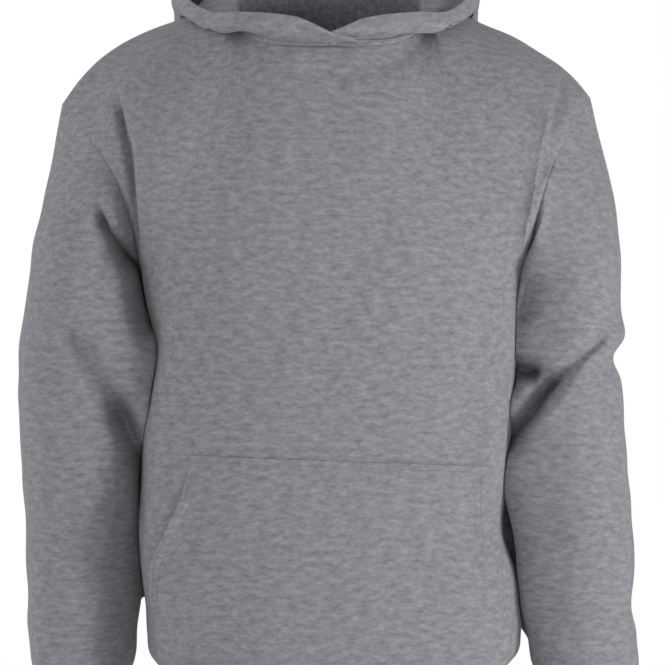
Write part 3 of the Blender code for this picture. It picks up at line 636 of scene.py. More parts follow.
def edge_distance(grid, closed, crossing=False):
    """How far each point lies from the nearest edge of its piece, along the cloth.

    With crossing, the edges at the armholes and the sides don't count.
    """
    up = np.cumsum(np.linalg.norm(np.diff(grid, axis=0, prepend=grid[:1]), axis=-1), axis=0)
    near = up[-1] - up if closed and crossing else np.minimum(up, up[-1] - up)
    if closed or crossing:
        return near
    over = np.cumsum(np.linalg.norm(np.diff(grid, axis=1, prepend=grid[:, :1]), axis=-1), axis=1)
    return np.minimum(near, np.minimum(over, over[:, -1:] - over))


def curve_through(points, count=40):
    """A smooth line of many points through a few."""
    points = np.asarray(points, float)
    keyed = np.column_stack([run_of(points), points])
    return along(keyed, np.linspace(0, keyed[-1, 0], count))


def fold_depth(flat, line, right_width, left_width):
    """A trough's depth, 0 to 1, at points seen flat, with a steeper side where it is narrower."""
    curve = curve_through(line)
    start, step = curve[:-1], np.diff(curve, axis=0)
    best = np.full(flat.shape[:-1], np.inf)
    side = np.zeros(flat.shape[:-1])
    place = np.zeros(flat.shape[:-1])
    for k in range(len(step)):
        to = flat - start[k]
        t = np.clip(to @ step[k] / (step[k] @ step[k]), 0, 1)
        off = to - t[..., None] * step[k]
        far = np.linalg.norm(off, axis=-1)
        nearer = far < best
        best = np.where(nearer, far, best)
        side = np.where(nearer, step[k][0] * off[..., 1] - step[k][1] * off[..., 0], side)
        place = np.where(nearer, (k + t) / len(step), place)
    downward = curve[-1, 1] < curve[0, 1]
    on_left = side > 0 if downward else side < 0
    width = np.where(on_left, left_width, right_width)
    ends = fade(1 - place / FOLD_ENDS) * fade((place - (1 - FOLD_ENDS)) / FOLD_ENDS)
    return np.exp(-((best / width) ** FOLD_SHAPE)) * np.minimum(1, ends + 0.1 * (best < width))


def folded(grid, name, closed, scale):
    """The grid with its folds pressed straight back or forward, never through its far side."""
    held = 1 - fade(edge_distance(grid, closed) / HOLD)
    held_at_ends = 1 - fade(edge_distance(grid, closed, crossing=True) / HOLD)
    flat = grid[..., [0, 2]] * 1000
    moved = grid.copy()
    for table, toward in ((FRONT_FOLDS, 1), (BACK_FOLDS, -1)):
        reach = np.clip(-toward * (grid[..., 1] - SIDE_SEAM_Y), 0, None) * 1000
        room = np.clip(-toward * (grid[..., 1] - SIDE_SEAM_Y) * 1000 + FOLD_PAST, 0, None)
        for piece, depth, right_width, left_width, line in table:
            if piece not in ("all", name):
                continue
            trough = fold_depth(flat, np.reshape(line, (-1, 2)), right_width, left_width)
            far = reach if piece in ("all", "body") else room
            press = depth * (1 - np.exp(-far / abs(depth))) * (held_at_ends if piece == "all" else held)
            moved[..., 1] += toward * scale / 1000 * trough * press
    return moved


def wrinkled(grid, normals, kind, closed, scale, seed):
    """The grid with its piece's low wrinkles, fading to nothing at its seams."""
    height, shortest, longest, upright = WRINKLES[kind]
    picker = np.random.default_rng(seed)
    total = np.zeros(grid.shape[:2])
    for _ in range(WAVES):
        way = picker.normal(size=3) * np.array([1, 1, upright])
        way /= np.linalg.norm(way)
        length = math.exp(picker.uniform(math.log(shortest), math.log(longest)))
        total += np.sin(grid * 1000 @ way * 2 * math.pi / length + picker.uniform(0, 2 * math.pi))
    total *= height / 1000 * scale / math.sqrt(WAVES / 2)
    held = 1 - fade(edge_distance(grid, closed) / WRINKLE_HOLD)
    return grid + normals * (total * held)[..., None]


# Cloth as thin closed shells.


def edges_rounded(outer, inner, closed):
    """Both grids with a narrow row more at each open edge, so that the cloth's edge is rounded."""
    half, middle = (outer - inner) / 2, (outer + inner) / 2
    thick = np.linalg.norm(half, axis=-1, keepdims=True)

    def beyond(edge, beside):
        spot = middle[edge] + unit(middle[edge] - middle[beside]) * thick[edge] * RIM_OUT
        return spot + half[edge] * RIM_LEFT, spot - half[edge] * RIM_LEFT

    low, high = beyond(0, 1), beyond(-1, -2)
    outer = np.concatenate([low[0][None], outer, high[0][None]])
    inner = np.concatenate([low[1][None], inner, high[1][None]])
    if closed:
        return outer, inner
    # The columns' ends are rounded in the same way, as rows of the grids turned over.
    turned = edges_rounded(outer.transpose(1, 0, 2), inner.transpose(1, 0, 2), True)
    return tuple(grid.transpose(1, 0, 2) for grid in turned)


def cloth_coordinates(grid, closed, patch):
    """Each point's place on the cloth in metres, across and up, on a patch of its own.

    The courses of the knit lie level: the second coordinate is the height, and on the shoulders of
    the front, back and hood it also runs back over the top.
    """
    looped = np.concatenate([grid, grid[:, :1]], axis=1) if closed else grid
    across = np.cumsum(np.linalg.norm(np.diff(looped, axis=1, prepend=looped[:, :1]), axis=-1), axis=1)
    up = looped[..., 2]
    if not closed:
        lying = 1 - fade((np.abs(ring_normals(looped, False)[..., 2]) - 0.5) / 0.4)
        steps = np.diff(looped, axis=0, prepend=looped[:1])
        up = up[:1] + np.cumsum(steps[..., 2] + np.abs(steps[..., 1]) * lying, axis=0)
    middle = across[:, across.shape[1] // 2][:, None]
    return np.stack([across - middle + patch * PATCH_STEP[0], up + patch * PATCH_STEP[1]], axis=-1)


def shell(name, outer, inner, closed, patch, materials, unfolded=None):
    """One closed piece of cloth between its face and its back, with its place on the flat cloth.

    unfolded is its outer face before it was folded, so that the knit follows the folds.
    """
    outer, inner = edges_rounded(outer, inner, closed)
    rows, columns = outer.shape[:2]
    spans = columns if closed else columns - 1
    count = rows * columns
    face = grid_faces(rows, spans, columns)
    back = face[:, [0, 3, 2, 1]] + count
    c = np.arange(spans)
    after = (c + 1) % columns
    top = (rows - 1) * columns
    rims = [
        np.stack([after, c, c + count, after + count], axis=-1),
        np.stack([top + c, top + after, top + after + count, top + c + count], axis=-1),
    ]
    if not closed:
        r = np.arange(rows - 1) * columns
        last = r + columns - 1
        rims.append(np.stack([r, r + columns, r + columns + count, r + count], axis=-1))
        rims.append(np.stack([last + columns, last, last + count, last + columns + count], axis=-1))
    rims = np.concatenate(rims)
    quads = np.concatenate([face, back, rims])
    points = np.concatenate([outer.reshape(-1, 3), inner.reshape(-1, 3)])
    mesh = bpy.data.meshes.new(name)
    mesh.from_pydata(points.tolist(), [], quads.tolist())
    if unfolded is not None:
        rim = (0, 0) if closed else (1, 1)
        outer = np.pad(unfolded, ((1, 1), rim, (0, 0)), mode="edge")
    flat = cloth_coordinates(outer, closed, patch)
    wide = flat.shape[1]
    corners = grid_faces(rows, spans, wide) if closed else face
    flat = flat.reshape(-1, 2)
    places = np.concatenate([flat[corners], flat[corners[:, [0, 3, 2, 1]]]])
    bound = points[:, [0, 2]]
    places = np.concatenate([places, bound[rims] + patch])
    layer = mesh.uv_layers.new(name="cloth")
    layer.uv.foreach_set("vector", places.reshape(-1).astype(np.float32))
    slots = np.concatenate([np.zeros(len(face), int), np.ones(len(back), int), np.zeros(len(rims), int)])
    for finish in materials:
        mesh.materials.append(finish)
    mesh.polygons.foreach_set("material_index", slots.astype(np.int32))
    mesh.shade_smooth()
    mesh.update()
    made = bpy.data.objects.new(name, mesh)
    bpy.context.scene.collection.objects.link(made)
    return made


def hollow_of(outer, closed, thick):
    """The back of a cloth's face, one thickness inside it."""
    return outer - ring_normals(outer, closed) * thick


# Stitching.


def inset_line(grid, edge, distance, start=0.0, stop=1.0):
    """A line of points on a grid, at a distance from one of its edges, with the cloth's normals."""
    normals = ring_normals(grid, False)
    across, way = {"bottom": (0, 1), "top": (0, -1), "first": (1, 1), "last": (1, -1)}[edge]
    if across:
        grid, normals = grid.transpose(1, 0, 2), normals.transpose(1, 0, 2)
    grid, normals = grid[::way], normals[::way]
    count = grid.shape[1]
    chosen = range(int(start * (count - 1)), int(stop * (count - 1)) + 1)
    points, ups = [], []
    for c in chosen:
        run = run_of(grid[:, c])
        points.append([np.interp(distance, run, grid[:, c, k]) for k in range(3)])
        ups.append([np.interp(distance, run, normals[:, c, k]) for k in range(3)])
    return np.array(points), unit(np.array(ups))


def stitches(lines, length, gap, thick, lift):
    """Points and faces of running stitches laid along lines of points, one spindle a stitch."""
    points, quads = [], []
    section = np.array([(1, 0), (0, 1), (-1, 0), (0, -1)]) / 2
    for line, ups in lines:
        run = run_of(line)
        starts = np.arange(0, run[-1] - length, length + gap)
        for start in starts:
            at = start + np.array([0.0, 0.2, 0.8, 1.0]) * length
            place = np.stack([np.interp(at, run, line[:, k]) for k in range(3)], axis=-1)
            up = unit(np.stack([np.interp(at, run, ups[:, k]) for k in range(3)], axis=-1))
            way = unit(place[-1:] - place[:1])
            side = unit(np.cross(way, up))
            size = thick * np.array([0.35, 1.0, 1.0, 0.35])
            place = place + up * (lift * np.array([-0.4, 1.0, 1.0, -0.4]))[:, None]
            base = len(points) * 16
            rings = [
                place[k] + (section[:, :1] * side[k] + section[:, 1:] * up[k]) * size[k]
                for k in range(4)
            ]
            points.append(np.concatenate(rings))
            for k in range(3):
                for j in range(4):
                    a, b = base + 4 * k + j, base + 4 * k + (j + 1) % 4
                    quads.append((a, a + 4, b + 4, b))
            quads.append((base, base + 1, base + 2, base + 3))
            quads.append((base + 15, base + 14, base + 13, base + 12))
    return np.concatenate(points), quads


# Finishes.


def linear(code):
    """An sRGB hex value as linear colour."""
    values = [int(code[k : k + 2], 16) / 255 for k in (1, 3, 5)]
    return tuple(v / 12.92 if v <= 0.04045 else ((v + 0.055) / 1.055) ** 2.4 for v in values)


def node(tree, kind, settings=None, inputs=None):
    """Adds a node with its settings, and its inputs as values or as links from other sockets."""
    made = tree.nodes.new(kind)
    for name, value in (settings or {}).items():
        setattr(made, name, value)
    for name, value in (inputs or {}).items():
        if isinstance(value, bpy.types.NodeSocket):
            tree.links.new(value, made.inputs[name])
        else:
            made.inputs[name].default_value = value
    return made


def sum_of(tree, one, other):
    return node(tree, "ShaderNodeMath", {"operation": "ADD"}, {0: one, 1: other}).outputs[0]


def blend(tree, share, first, second):
    """A value between two: the first at share 0, the second at 1."""
    inputs = {"Factor": share, "A": first, "B": second}
    return node(tree, "ShaderNodeMix", {"data_type": "FLOAT"}, inputs).outputs[0]


def ranged(tree, value, low, high, most=1.0):
    """A value's share of the way from low to high, kept between 0 and 1, times most."""
    inputs = {"Value": value, "From Min": low, "From Max": high, "To Min": 0.0, "To Max": most}
    return node(tree, "ShaderNodeMapRange", None, inputs).outputs[0]


def noise(tree, place, scale, detail, roughness):
    """A cloudy pattern on the flat cloth, mostly between 0.2 and 0.8."""
    inputs = {"Vector": place, "Scale": scale, "Detail": detail, "Roughness": roughness}
    return node(tree, "ShaderNodeTexNoise", {"noise_dimensions": "2D"}, inputs).outputs[0]


def stripes(tree, place, direction, apart, distortion, detail):
    """Soft stripes across a direction, this far apart."""
    kind = {"wave_type": "BANDS", "bands_direction": direction}
    scale = 2 * math.pi / (20 * apart)
    inputs = {"Vector": place, "Scale": scale, "Distortion": distortion, "Detail": detail}
    return node(tree, "ShaderNodeTexWave", kind, inputs).outputs[1]


def yarn_shade(tree, value, low, high, yarns):
    """The dark yarn where a pattern is low, the light yarn where it is high, and all between."""
    dark, light = ((*yarn, 1) for yarn in yarns)
    inputs = {"Factor": ranged(tree, value, low, high), 6: dark, 7: light}
    return node(tree, "ShaderNodeMix", {"data_type": "RGBA"}, inputs).outputs[2]


def new_material(name, roughness, sheen):
    """A dull material, its nodes and its shader."""
    made = bpy.data.materials.new(name)
    made.use_nodes = True
    tree = made.node_tree
    shader = tree.nodes["Principled BSDF"]
    shader.inputs["Roughness"].default_value = roughness
    shader.inputs["Specular IOR Level"].default_value = 0.2
    shader.inputs["Sheen Weight"].default_value = sheen
    shader.inputs["Sheen Roughness"].default_value = 0.45
    return made, tree, shader


def cloth_place(tree):
    """The place on the flat cloth, which each piece carries."""
    return node(tree, "ShaderNodeUVMap", {"uv_map": "cloth"}).outputs[0]


def relief(tree, shader, height, strength, distance):
    """Gives a shader a fine bump."""
    inputs = {"Height": height, "Strength": strength, "Distance": distance}
    bump = node(tree, "ShaderNodeBump", None, inputs)
    tree.links.new(bump.outputs[0], shader.inputs["Normal"])


def heather_colour(tree, flat, yarns):
    """Grey yarn spun from dark and light fibres: short streaks along the courses of the knit.

    Broad streaks are about 14 mm long and 5.5 mm high, and finer ones 6 mm by 2.7 mm lie over them.
    """
    layers = []
    for length, height, detail, roughness in ((0.014, 0.0055, 1.0, 0.5), (0.006, 0.0027, 2.0, 0.6)):
        inputs = {"Vector": flat, "Scale": (1 / length, 1 / height, 1)}
        place = node(tree, "ShaderNodeMapping", None, inputs).outputs[0]
        layers.append(noise(tree, place, 1.0, detail, roughness))
    return yarn_shade(tree, blend(tree, 0.5, *layers), 0.22, 0.78, yarns), layers[1]


def brushed_fleece(yarns):
    """Brushed-back fleece, its smooth jersey face: dull, with a soft halo of fibre ends at its rims."""
    made, tree, shader = new_material("heather_fleece_face", 0.95, 0.28)
    flat = cloth_place(tree)
    colour, fine = heather_colour(tree, flat, yarns)
    tree.links.new(colour, shader.inputs["Base Color"])
    # Wales of the jersey, 1.3 mm apart where real ones are 0.9 mm, so that they show.
    wales = stripes(tree, flat, "X", 0.0013, 1.2, 1.0)
    nap = noise(tree, flat, 1 / 0.0016, 3.0, 0.7)
    relief(tree, shader, sum_of(tree, blend(tree, 0.65, wales, nap), fine), 0.35, 0.0006)
    return made


def fleece_back(yarns):
    """The brushed back of the fleece: paler, matt and cloudy, with no course to be seen."""
    made, tree, shader = new_material("heather_fleece_back", 1.0, 0.35)
    tufts = noise(tree, cloth_place(tree), 1 / 0.006, 4.0, 0.7)
    tree.links.new(yarn_shade(tree, tufts, 0.3, 0.72, yarns), shader.inputs["Base Color"])
    relief(tree, shader, tufts, 0.6, 0.0012)
    return made


def rib_knit(yarns):
    """Rib knit in the same yarn: matt, its ribs real shapes, the stitches on them a fine bump."""
    made, tree, shader = new_material("heather_rib_knit", 0.95, 0.25)
    flat = cloth_place(tree)
    colour, fine = heather_colour(tree, flat, yarns)
    tree.links.new(colour, shader.inputs["Base Color"])
    # Rows of stitches up each rib, 1.6 mm apart where real ones are 1 mm, so that they show.
    courses = stripes(tree, flat, "Y", 0.0016, 0.6, 1.0)
    relief(tree, shader, sum_of(tree, courses, fine), 0.4, 0.0005)
    return made


def polyester_thread(colour):
    """Spun polyester sewing thread: twisted plies with painted shade in their grooves, a little shinier
    than the cloth.
    """
    made, tree, shader = new_material("spun_polyester_thread", 0.6, 0.0)
    spot = node(tree, "ShaderNodeTexCoord").outputs["Object"]
    # One twist of the plies is 0.6 mm. Its darker bands are painted shade in the grooves between the
    # plies.
    twist = stripes(tree, spot, "DIAGONAL", 0.0006, 0.5, 2.0)
    # Painted shade: the grooves between the plies are drawn a quarter darker, since the thread has no
    # relief of its own.
    groove_shade = tuple(v * 0.75 for v in colour)
    plies = yarn_shade(tree, twist, 0.2, 0.8, (groove_shade, colour))
    tree.links.new(plies, shader.inputs["Base Color"])
    return made


# The pieces' cloth, worked out once and used by the pieces that lie on them.


@functools.cache
def body_cloth(half, fold_scale):
    """The outer face of the front or back, folded and wrinkled."""
    grid = folded(panel(half), "body", False, fold_scale)
    seed = 11 if half == "front" else 12
    return wrinkled(grid, ring_normals(grid, False), "body", False, fold_scale, seed)


def hugging(grid, side, scale):
    """The sleeve's grid with its inner front corner pressed against the body's side."""
    out = side_sign(side) * grid[..., 0]
    ahead = SIDE_SEAM_Y - grid[..., 1]
    inner, outer = out.min(axis=1, keepdims=True), out.max(axis=1, keepdims=True)
    turn = np.arctan2(ahead / ahead.max(axis=1, keepdims=True), 2 * (out - inner) / (outer - inner) - 1)
    reach = along(HUG, grid[..., 2].ravel())[:, COLUMN_OF[side]].reshape(turn.shape)
    reach = reach * scale * fade(np.abs(turn - HUG_TURN) / HUG_SPREAD)
    reach = reach * (1 - fade(edge_distance(grid, True) / HUG_FADE))
    moved = grid.copy()
    moved[..., 0] -= side_sign(side) * reach
    moved[..., 1] -= HUG_FORWARD * reach
    return moved


@functools.cache
def sleeve_cloth(side, fold_scale):
    """A sleeve's outer face, against the body at its inner front corner, folded and wrinkled."""
    front, back = body_cloth("front", fold_scale), body_cloth("back", fold_scale)
    body = np.concatenate([front, back[:, 1:-1]], axis=1)
    grid = folded(hugging(sleeve(side), side, fold_scale), f"sleeve_{side}", True, fold_scale)
    grid = clear_of(grid, tree_of(body, True), SLEEVE_CLEAR, skip_rows=2 * RING_FINENESS)
    seed = 21 if side == "right" else 22
    return wrinkled(grid, ring_normals(grid, True), "sleeve", True, fold_scale, seed)


@functools.cache
def hood_cloth(side, fleece, fold_scale):
    """Half the hood's outer face, clear of the body and wrinkled."""
    body = np.concatenate([panel("front"), panel("back")[:, 1:-1]], axis=1)
    grid = clear_of(hood_half(side, fleece), tree_of(body, True), HOOD_CLEAR, skip_rows=1)
    return wrinkled(grid, ring_normals(grid, False), "hood", False, fold_scale, 31)


def read_row(values, row):
    """A grid's row between two of its rows."""
    r = min(int(row), len(values) - 2)
    return values[r] * (1 - (row - r)) + values[r + 1] * (row - r)


def read_grid(values, row, column):
    """A grid's value between its rows and columns."""
    r, c = min(int(row), values.shape[0] - 2), min(int(column), values.shape[1] - 2)
    v, u = row - r, column - c
    low = values[r, c] * (1 - u) + values[r, c + 1] * u
    high = values[r + 1, c] * (1 - u) + values[r + 1, c + 1] * u
    return low * (1 - v) + high * v


@functools.cache
def pocket_cloth(fleece, fold_scale):
    """The pocket's outer face and back: the front's own points moved out, cut to its edges."""
    front = body_cloth("front", fold_scale)
    normals = ring_normals(front, False)
    runs = np.array([run_of(row) for row in front])
    runs = runs - runs[:, runs.shape[1] // 2][:, None]
    rows_to_chest = CHEST_SPANS * ROW_FINENESS
    foot, chest = BODY[0][0], BODY[-1][0]
    outer, back = [], []
    for v in np.linspace(0, 1, POCKET_ROWS + 1):
        face_row, back_row = [], []
        for u in np.linspace(0, 1, POCKET_COLUMNS + 1):
            top = POCKET_TOP[0] + (POCKET_TOP[1] - POCKET_TOP[0]) * u
            height = foot + v * (top - foot)
            row = (height - foot) / (chest - foot) * rows_to_chest
            right, left = along(POCKET, height)[0]
            run = read_row(runs, row)
            column = np.interp(-right + u * (right + left), run, np.arange(runs.shape[1]))
            point, out = read_grid(front, row, column), read_grid(normals, row, column)
            if v == 0:
                out = out * np.array([1, 1, 0])
            out = unit(out)
            low, high = POCKET_MOUTH
            open_here = math.sin(math.pi * min(1, max(0, (height - low) / (high - low))))
            gape = POCKET_GAPE[0 if u < 0.5 else 1] * open_here
            gape *= math.exp(-((min(u, 1 - u) / POCKET_GAPE_WIDTH) ** 2))
            puff = math.sin(math.pi * v) * (0.6 + 0.4 * math.sin(math.pi * u)) * POCKET_PUFF
            clear = CLOTH_CLEAR / 2 + puff
            point = point + np.array([0, -gape, 0])
            back_row.append(point + out * clear)
            face_row.append(point + out * (clear + fleece))
        outer.append(face_row)
        back.append(back_row)
    return np.array(outer), np.array(back)


def hem_ring(height, angles):
    """The hem band's plain ring, counterclockwise from the wearer's right."""
    right, left, front, back = along(BODY, BODY[0][0])[0]
    c, s = rounded(angles, BODY_SQUARENESS)
    y = np.where(s > 0, front, back)
    x = (left + right) / 2 - (left - right) / 2 * c
    return np.stack([x, SIDE_SEAM_Y + (y - SIDE_SEAM_Y) * np.abs(s), np.full_like(x, height)], axis=-1)


def cuff_ring(side, height, angles):
    """A cuff's plain ring, counterclockwise."""
    _, x_out, _, x_in, front, back = SLEEVE[side][-1]
    c, s = rounded(angles, SLEEVE_SQUARENESS)
    x = side_sign(side) * (x_out + x_in) / 2 - (x_out - x_in) / 2 * c
    y = SIDE_SEAM_Y + (front + back) / 2 - s * (back - front) / 2
    return np.stack([x, y, np.full_like(x, height)], axis=-1)


def ribbed_band(name, ring_at, top, length, ribs, sizes, patch, finishes):
    """A rib-knit band: round ribs over a plain back."""
    each = RIB_COLUMNS
    angles = np.linspace(0, 2 * math.pi, 721)
    girth = run_of(ring_at(top, angles))
    even = np.interp(np.arange(ribs * each) / (ribs * each) * girth[-1], girth, angles)
    heights = np.linspace(top - SEAM_GAP - length, top - SEAM_GAP, BAND_ROWS)
    plain = np.array([ring_at(height, even) for height in heights])
    normals = ring_normals(plain, True)
    wave = 0.5 + 0.5 * np.cos(np.arange(ribs * each) * 2 * math.pi / each)
    raised = sizes.rib_height * wave**RIB_ROUNDNESS
    outer = plain + normals * raised[None, :, None]
    inner = plain - normals * sizes.rib_wall
    return shell(name, outer, inner, True, patch, finishes)


# What a user would change.


def length_setting(name, description, default, low, high):
    """A length that a user may change."""
    return bpy.props.FloatProperty(
        name=name, description=description, default=default, min=low, max=high,
        unit="LENGTH", precision=4,
    )


def colour_setting(name, description, code):
    """A colour that a user may change."""
    return bpy.props.FloatVectorProperty(
        name=name, description=description, subtype="COLOR", size=3, default=linear(code),
        min=0, max=1,
    )


class HoodieSizes(bpy.types.PropertyGroup):
    """Thicknesses, ribs, stitching and folds"""

    fleece: length_setting("Fleece", "Thickness of the brushed fleece", 0.0022, 0.001, 0.003)
    rib_wall: length_setting(
        "Rib wall", "Thickness of the rib knit between its ribs", 0.0024, 0.001, 0.003
    )
    rib_height: length_setting("Rib height", "How far a rib stands out", 0.0012, 0.0, 0.002)
    hem_ribs: bpy.props.IntProperty(
        name="Hem ribs", description="Ribs round the hem band", default=210, min=40
    )
    cuff_ribs: bpy.props.IntProperty(
        name="Cuff ribs", description="Ribs round a cuff", default=56, min=20
    )
    stitch: length_setting("Stitch", "Length of one topstitch", 0.0030, 0.001, 0.006)
    needle_gauge: length_setting(
        "Needle gauge", "Distance between the two rows of a double topstitch", 0.0064, 0.003, 0.01
    )
    thread: length_setting("Thread", "Thickness of the sewing thread", 0.00045, 0.0002, 0.001)
    fold_depth: bpy.props.FloatProperty(
        name="Folds", description="Depth of the folds and wrinkles, 1 as worn", default=1.0,
        min=0.0, max=1.2, subtype="FACTOR",
    )


class HoodieColours(bpy.types.PropertyGroup):
    """The yarns, the thread and the background"""

    dark_yarn: colour_setting("Dark yarn", "Darkest streaks of the heather", "#7c7b81")
    light_yarn: colour_setting("Light yarn", "Palest streaks of the heather", "#aaa9b0")
    thread: colour_setting("Thread", "Sewing thread", "#929198")
    background: colour_setting("Background", "Background, its light and the floor's glow", "#ffffff")


def settings(context):
    return context.scene.hoodie_sizes, context.scene.hoodie_colours


def yarns(colours):
    return tuple(colours.dark_yarn), tuple(colours.light_yarn)


def finish(name, maker, *arguments):
    """The material of this name, made the first time it is asked for."""
    return bpy.data.materials.get(name) or maker(*arguments)


def fleece_finishes(colours):
    pair = yarns(colours)
    return (
        finish("heather_fleece_face", brushed_fleece, pair),
        finish("heather_fleece_back", fleece_back, pair),
    )


def placed(piece, node_name):
    """The piece rides on the garment and stands for its solid, which is hidden."""
    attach(piece, "root")
    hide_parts(node_name)


# Operators, one for each piece or pair of like pieces.


class SewBody(bpy.types.Operator):
    """Front and back panels, with the folds at the armholes"""

    bl_idname = "hoodie.sew_body"
    bl_label = "Sew front and back"

    def execute(self, context):
        sizes, colours = settings(context)
        for half, patch in (("front", 1), ("back", 2)):
            grid = body_cloth(half, sizes.fold_depth)
            inner = hollow_of(grid, False, sizes.fleece)
            finishes = fleece_finishes(colours)
            piece = shell(f"{half}_fleece", grid, inner, False, patch, finishes, panel(half))
            placed(piece, f"{half}_panel")
        return {"FINISHED"}


class SewSleeves(bpy.types.Operator):
    """Both set-in sleeves, with the folds at the elbows"""

    bl_idname = "hoodie.sew_sleeves"
    bl_label = "Sew sleeves"

    def execute(self, context):
        sizes, colours = settings(context)
        for side, patch in (("right", 3), ("left", 4)):
            grid = sleeve_cloth(side, sizes.fold_depth)
            inner = hollow_of(grid, True, sizes.fleece)
            finishes = fleece_finishes(colours)
            piece = shell(f"sleeve_{side}_fleece", grid, inner, True, patch, finishes, sleeve(side))
            placed(piece, f"sleeve_{side}")
        return {"FINISHED"}


class SewHood(bpy.types.Operator):
    """Both halves of the hood, lying down the back and crossed at the throat"""

    bl_idname = "hoodie.sew_hood"
    bl_label = "Sew hood"

    def execute(self, context):
        sizes, colours = settings(context)
        thick = hood_thickness(sizes.fleece)[..., None]
        for side, patch in (("left", 5), ("right", 6)):
            grid = hood_cloth(side, sizes.fleece, sizes.fold_depth)
            inner = hollow_of(grid, False, thick)
            piece = shell(f"hood_{side}_fleece", grid, inner, False, patch, fleece_finishes(colours))
            placed(piece, f"hood_{side}")
        return {"FINISHED"}


class SewPocket(bpy.types.Operator):
    """The kangaroo pocket on the front"""

    bl_idname = "hoodie.sew_pocket"
    bl_label = "Sew pocket"

    def execute(self, context):
        sizes, colours = settings(context)
        outer, back = pocket_cloth(sizes.fleece, sizes.fold_depth)
        piece = shell("pocket_fleece", outer, back, False, 7, fleece_finishes(colours))
        placed(piece, "pocket")
        return {"FINISHED"}


class KnitBands(bpy.types.Operator):
    """The ribbed hem band and cuffs"""

    bl_idname = "hoodie.knit_bands"
    bl_label = "Knit hem band and cuffs"

    def execute(self, context):
        sizes, colours = settings(context)
        pair = yarns(colours)
        finishes = (
            finish("heather_rib_knit", rib_knit, pair),
            finish("heather_fleece_back", fleece_back, pair),
        )
        bands = [("hem_band", hem_ring, BODY[0][0], HEM_LENGTH, sizes.hem_ribs, 8, "hem_band")]
        for side, patch in (("right", 9), ("left", 10)):
            ring = functools.partial(cuff_ring, side)
            top = SLEEVE[side][-1][0]
            bands.append((f"cuff_{side}", ring, top, CUFF_LENGTH, sizes.cuff_ribs, patch, "cuff"))
        for name, ring, top, length, ribs, patch, cut in bands:
            piece = ribbed_band(f"{name}_rib", ring, top, length, ribs, sizes, patch, finishes)
            placed(piece, name)
        return {"FINISHED"}


class StitchSeams(bpy.types.Operator):
    """Double topstitching beside the seams and round the pocket"""

    bl_idname = "hoodie.stitch_seams"
    bl_label = "Stitch seams"

    def execute(self, context):
        sizes, colours = settings(context)
        front = body_cloth("front", sizes.fold_depth)
        back = body_cloth("back", sizes.fold_depth)
        pocket, _ = pocket_cloth(sizes.fleece, sizes.fold_depth)
        lines = []

        def double(grid, edge, near, *part):
            """Two rows, the nearer one this far from the edge."""
            for distance in (near, near + sizes.needle_gauge):
                lines.append(inset_line(grid, edge, distance, *part))

        for grid in (front, back):
            double(grid, "bottom", SEAM_STITCH)
            double(grid, "top", SEAM_STITCH, 0.32, 0.68)
        for edge in ("first", "last"):
            double(pocket, edge, MOUTH_STITCH, 0.25, 0.97)
            lines.append(inset_line(pocket, edge, SEAM_STITCH, 0.0, 0.27))
        lines.append(inset_line(pocket, "top", POCKET_TOP_STITCH))
        for side in ("right", "left"):
            hood = hood_cloth(side, sizes.fleece, sizes.fold_depth)
            double(hood, "top", RIM_STITCH, 0.02, 0.98)
            looped = sleeve_cloth(side, sizes.fold_depth)
            looped = np.concatenate([looped, looped[:, :1]], axis=1)
            double(looped, "top", SEAM_STITCH)
        thread = sizes.thread
        points, quads = stitches(lines, sizes.stitch, STITCH_GAP, thread, thread * THREAD_LIFT)
        mesh = bpy.data.meshes.new("topstitching")
        mesh.from_pydata(points.tolist(), [], quads)
        mesh.materials.append(finish("spun_polyester_thread", polyester_thread, tuple(colours.thread)))
        mesh.shade_smooth()
        piece = bpy.data.objects.new("topstitching", mesh)
        context.scene.collection.objects.link(piece)
        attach(piece, "root")
        return {"FINISHED"}


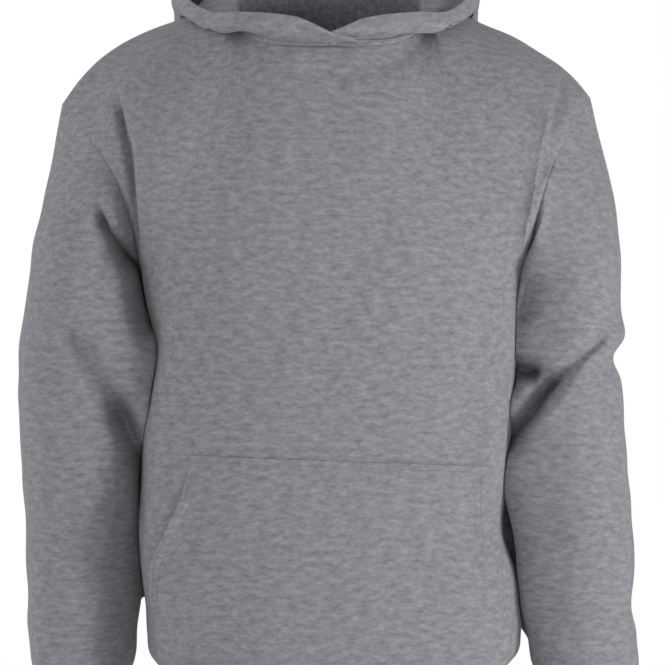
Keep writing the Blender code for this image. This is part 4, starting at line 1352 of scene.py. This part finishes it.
class SetStage(bpy.types.Operator):
    """A pale floor, soft studio light from the front and both sides, and the camera"""

    bl_idname = "hoodie.set_stage"
    bl_label = "Set stage"

    def execute(self, context):
        _, colours = settings(context)
        white = tuple(colours.background)
        world = bpy.data.worlds.new("white_tent")
        context.scene.world = world
        world.use_nodes = True
        tree = world.node_tree
        # White to the camera. Its light is soft and comes only from the front and the wearer's right.
        way = node(tree, "ShaderNodeTexCoord").outputs["Generated"]
        toward = node(tree, "ShaderNodeSeparateXYZ", None, {0: way})
        side = ranged(tree, toward.outputs["X"], 0.0, -1.0, SKY_SIDE)
        front = ranged(tree, toward.outputs["Y"], 0.0, -1.0, SKY_FRONT)
        seen = node(tree, "ShaderNodeLightPath").outputs["Is Camera Ray"]
        level = blend(tree, seen, sum_of(tree, side, front), 1.0)
        sky = tree.nodes["Background"]
        sky.inputs["Color"].default_value = (*white, 1)
        tree.links.new(level, sky.inputs["Strength"])
        bpy.ops.mesh.primitive_circle_add(
            vertices=96, radius=FLOOR_RADIUS, fill_type="NGON", location=(0, 0, FLOOR_Z)
        )
        floor = context.object
        floor.name = "floor"
        paint = bpy.data.materials.new("matt_white_floor")
        paint.use_nodes = True
        shader = paint.node_tree.nodes["Principled BSDF"]
        shader.inputs["Base Color"].default_value = (*linear(FLOOR_WHITE), 1)
        shader.inputs["Roughness"].default_value = 0.9
        # A faint glow that only the camera sees keeps the floor pale, out of the lamps' reach too.
        shader.inputs["Emission Color"].default_value = (*white, 1)
        seen = node(paint.node_tree, "ShaderNodeLightPath").outputs["Is Camera Ray"]
        glow = blend(paint.node_tree, seen, 0.0, FLOOR_GLOW)
        paint.node_tree.links.new(glow, shader.inputs["Emission Strength"])
        floor.data.materials.append(paint)
        for name, place, power in LAMPS:
            lamp = bpy.data.lights.new(name, "AREA")
            lamp.size, lamp.energy = LAMP_SIDE, power
            made = bpy.data.objects.new(name, lamp)
            made.location = place
            way = Vector(LAMP_AIM) - Vector(place)
            made.rotation_euler = way.to_track_quat("-Z", "Y").to_euler()
            context.scene.collection.objects.link(made)
        lens = bpy.data.cameras.new("camera")
        lens.sensor_width = SENSOR
        lens.lens = SENSOR * CAMERA_AWAY / VIEW_WIDTH
        camera = bpy.data.objects.new("camera", lens)
        camera.location = (VIEW_CENTRE[0], FACE_Y - CAMERA_AWAY, VIEW_CENTRE[1])
        camera.rotation_euler = (math.pi / 2, 0, 0)
        context.scene.collection.objects.link(camera)
        context.scene.camera = camera
        context.scene.view_settings.view_transform = "Standard"
        return {"FINISHED"}


OPERATORS = (SewBody, SewSleeves, SewHood, SewPocket, KnitBands, StitchSeams, SetStage)


class HoodiePanel(bpy.types.Panel):
    """Lists the hoodie's sizes, colours and operators"""

    bl_idname = "VIEW3D_PT_hoodie"
    bl_label = "Pullover hoodie"
    bl_space_type = "VIEW_3D"
    bl_region_type = "UI"
    bl_category = "Hoodie"

    def draw(self, context):
        for group in settings(context):
            box = self.layout.box()
            for name in group.bl_rna.properties.keys():
                if name not in ("rna_type", "name"):
                    box.prop(group, name)
        for operator in OPERATORS:
            self.layout.operator(operator.bl_idname)


CLASSES = (HoodieSizes, HoodieColours, *OPERATORS, HoodiePanel)


def register():
    for made in CLASSES:
        bpy.utils.register_class(made)
    bpy.types.Scene.hoodie_sizes = bpy.props.PointerProperty(type=HoodieSizes)
    bpy.types.Scene.hoodie_colours = bpy.props.PointerProperty(type=HoodieColours)


def unregister():
    del bpy.types.Scene.hoodie_colours
    del bpy.types.Scene.hoodie_sizes
    for made in reversed(CLASSES):
        bpy.utils.unregister_class(made)


def main():
    register()
    bpy.ops.hoodie.sew_body()
    bpy.ops.hoodie.sew_sleeves()
    bpy.ops.hoodie.sew_hood()
    bpy.ops.hoodie.sew_pocket()
    bpy.ops.hoodie.knit_bands()
    bpy.ops.hoodie.stitch_seams()
    bpy.ops.hoodie.set_stage()
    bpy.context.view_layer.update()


if __name__ == "__main__":
    main()
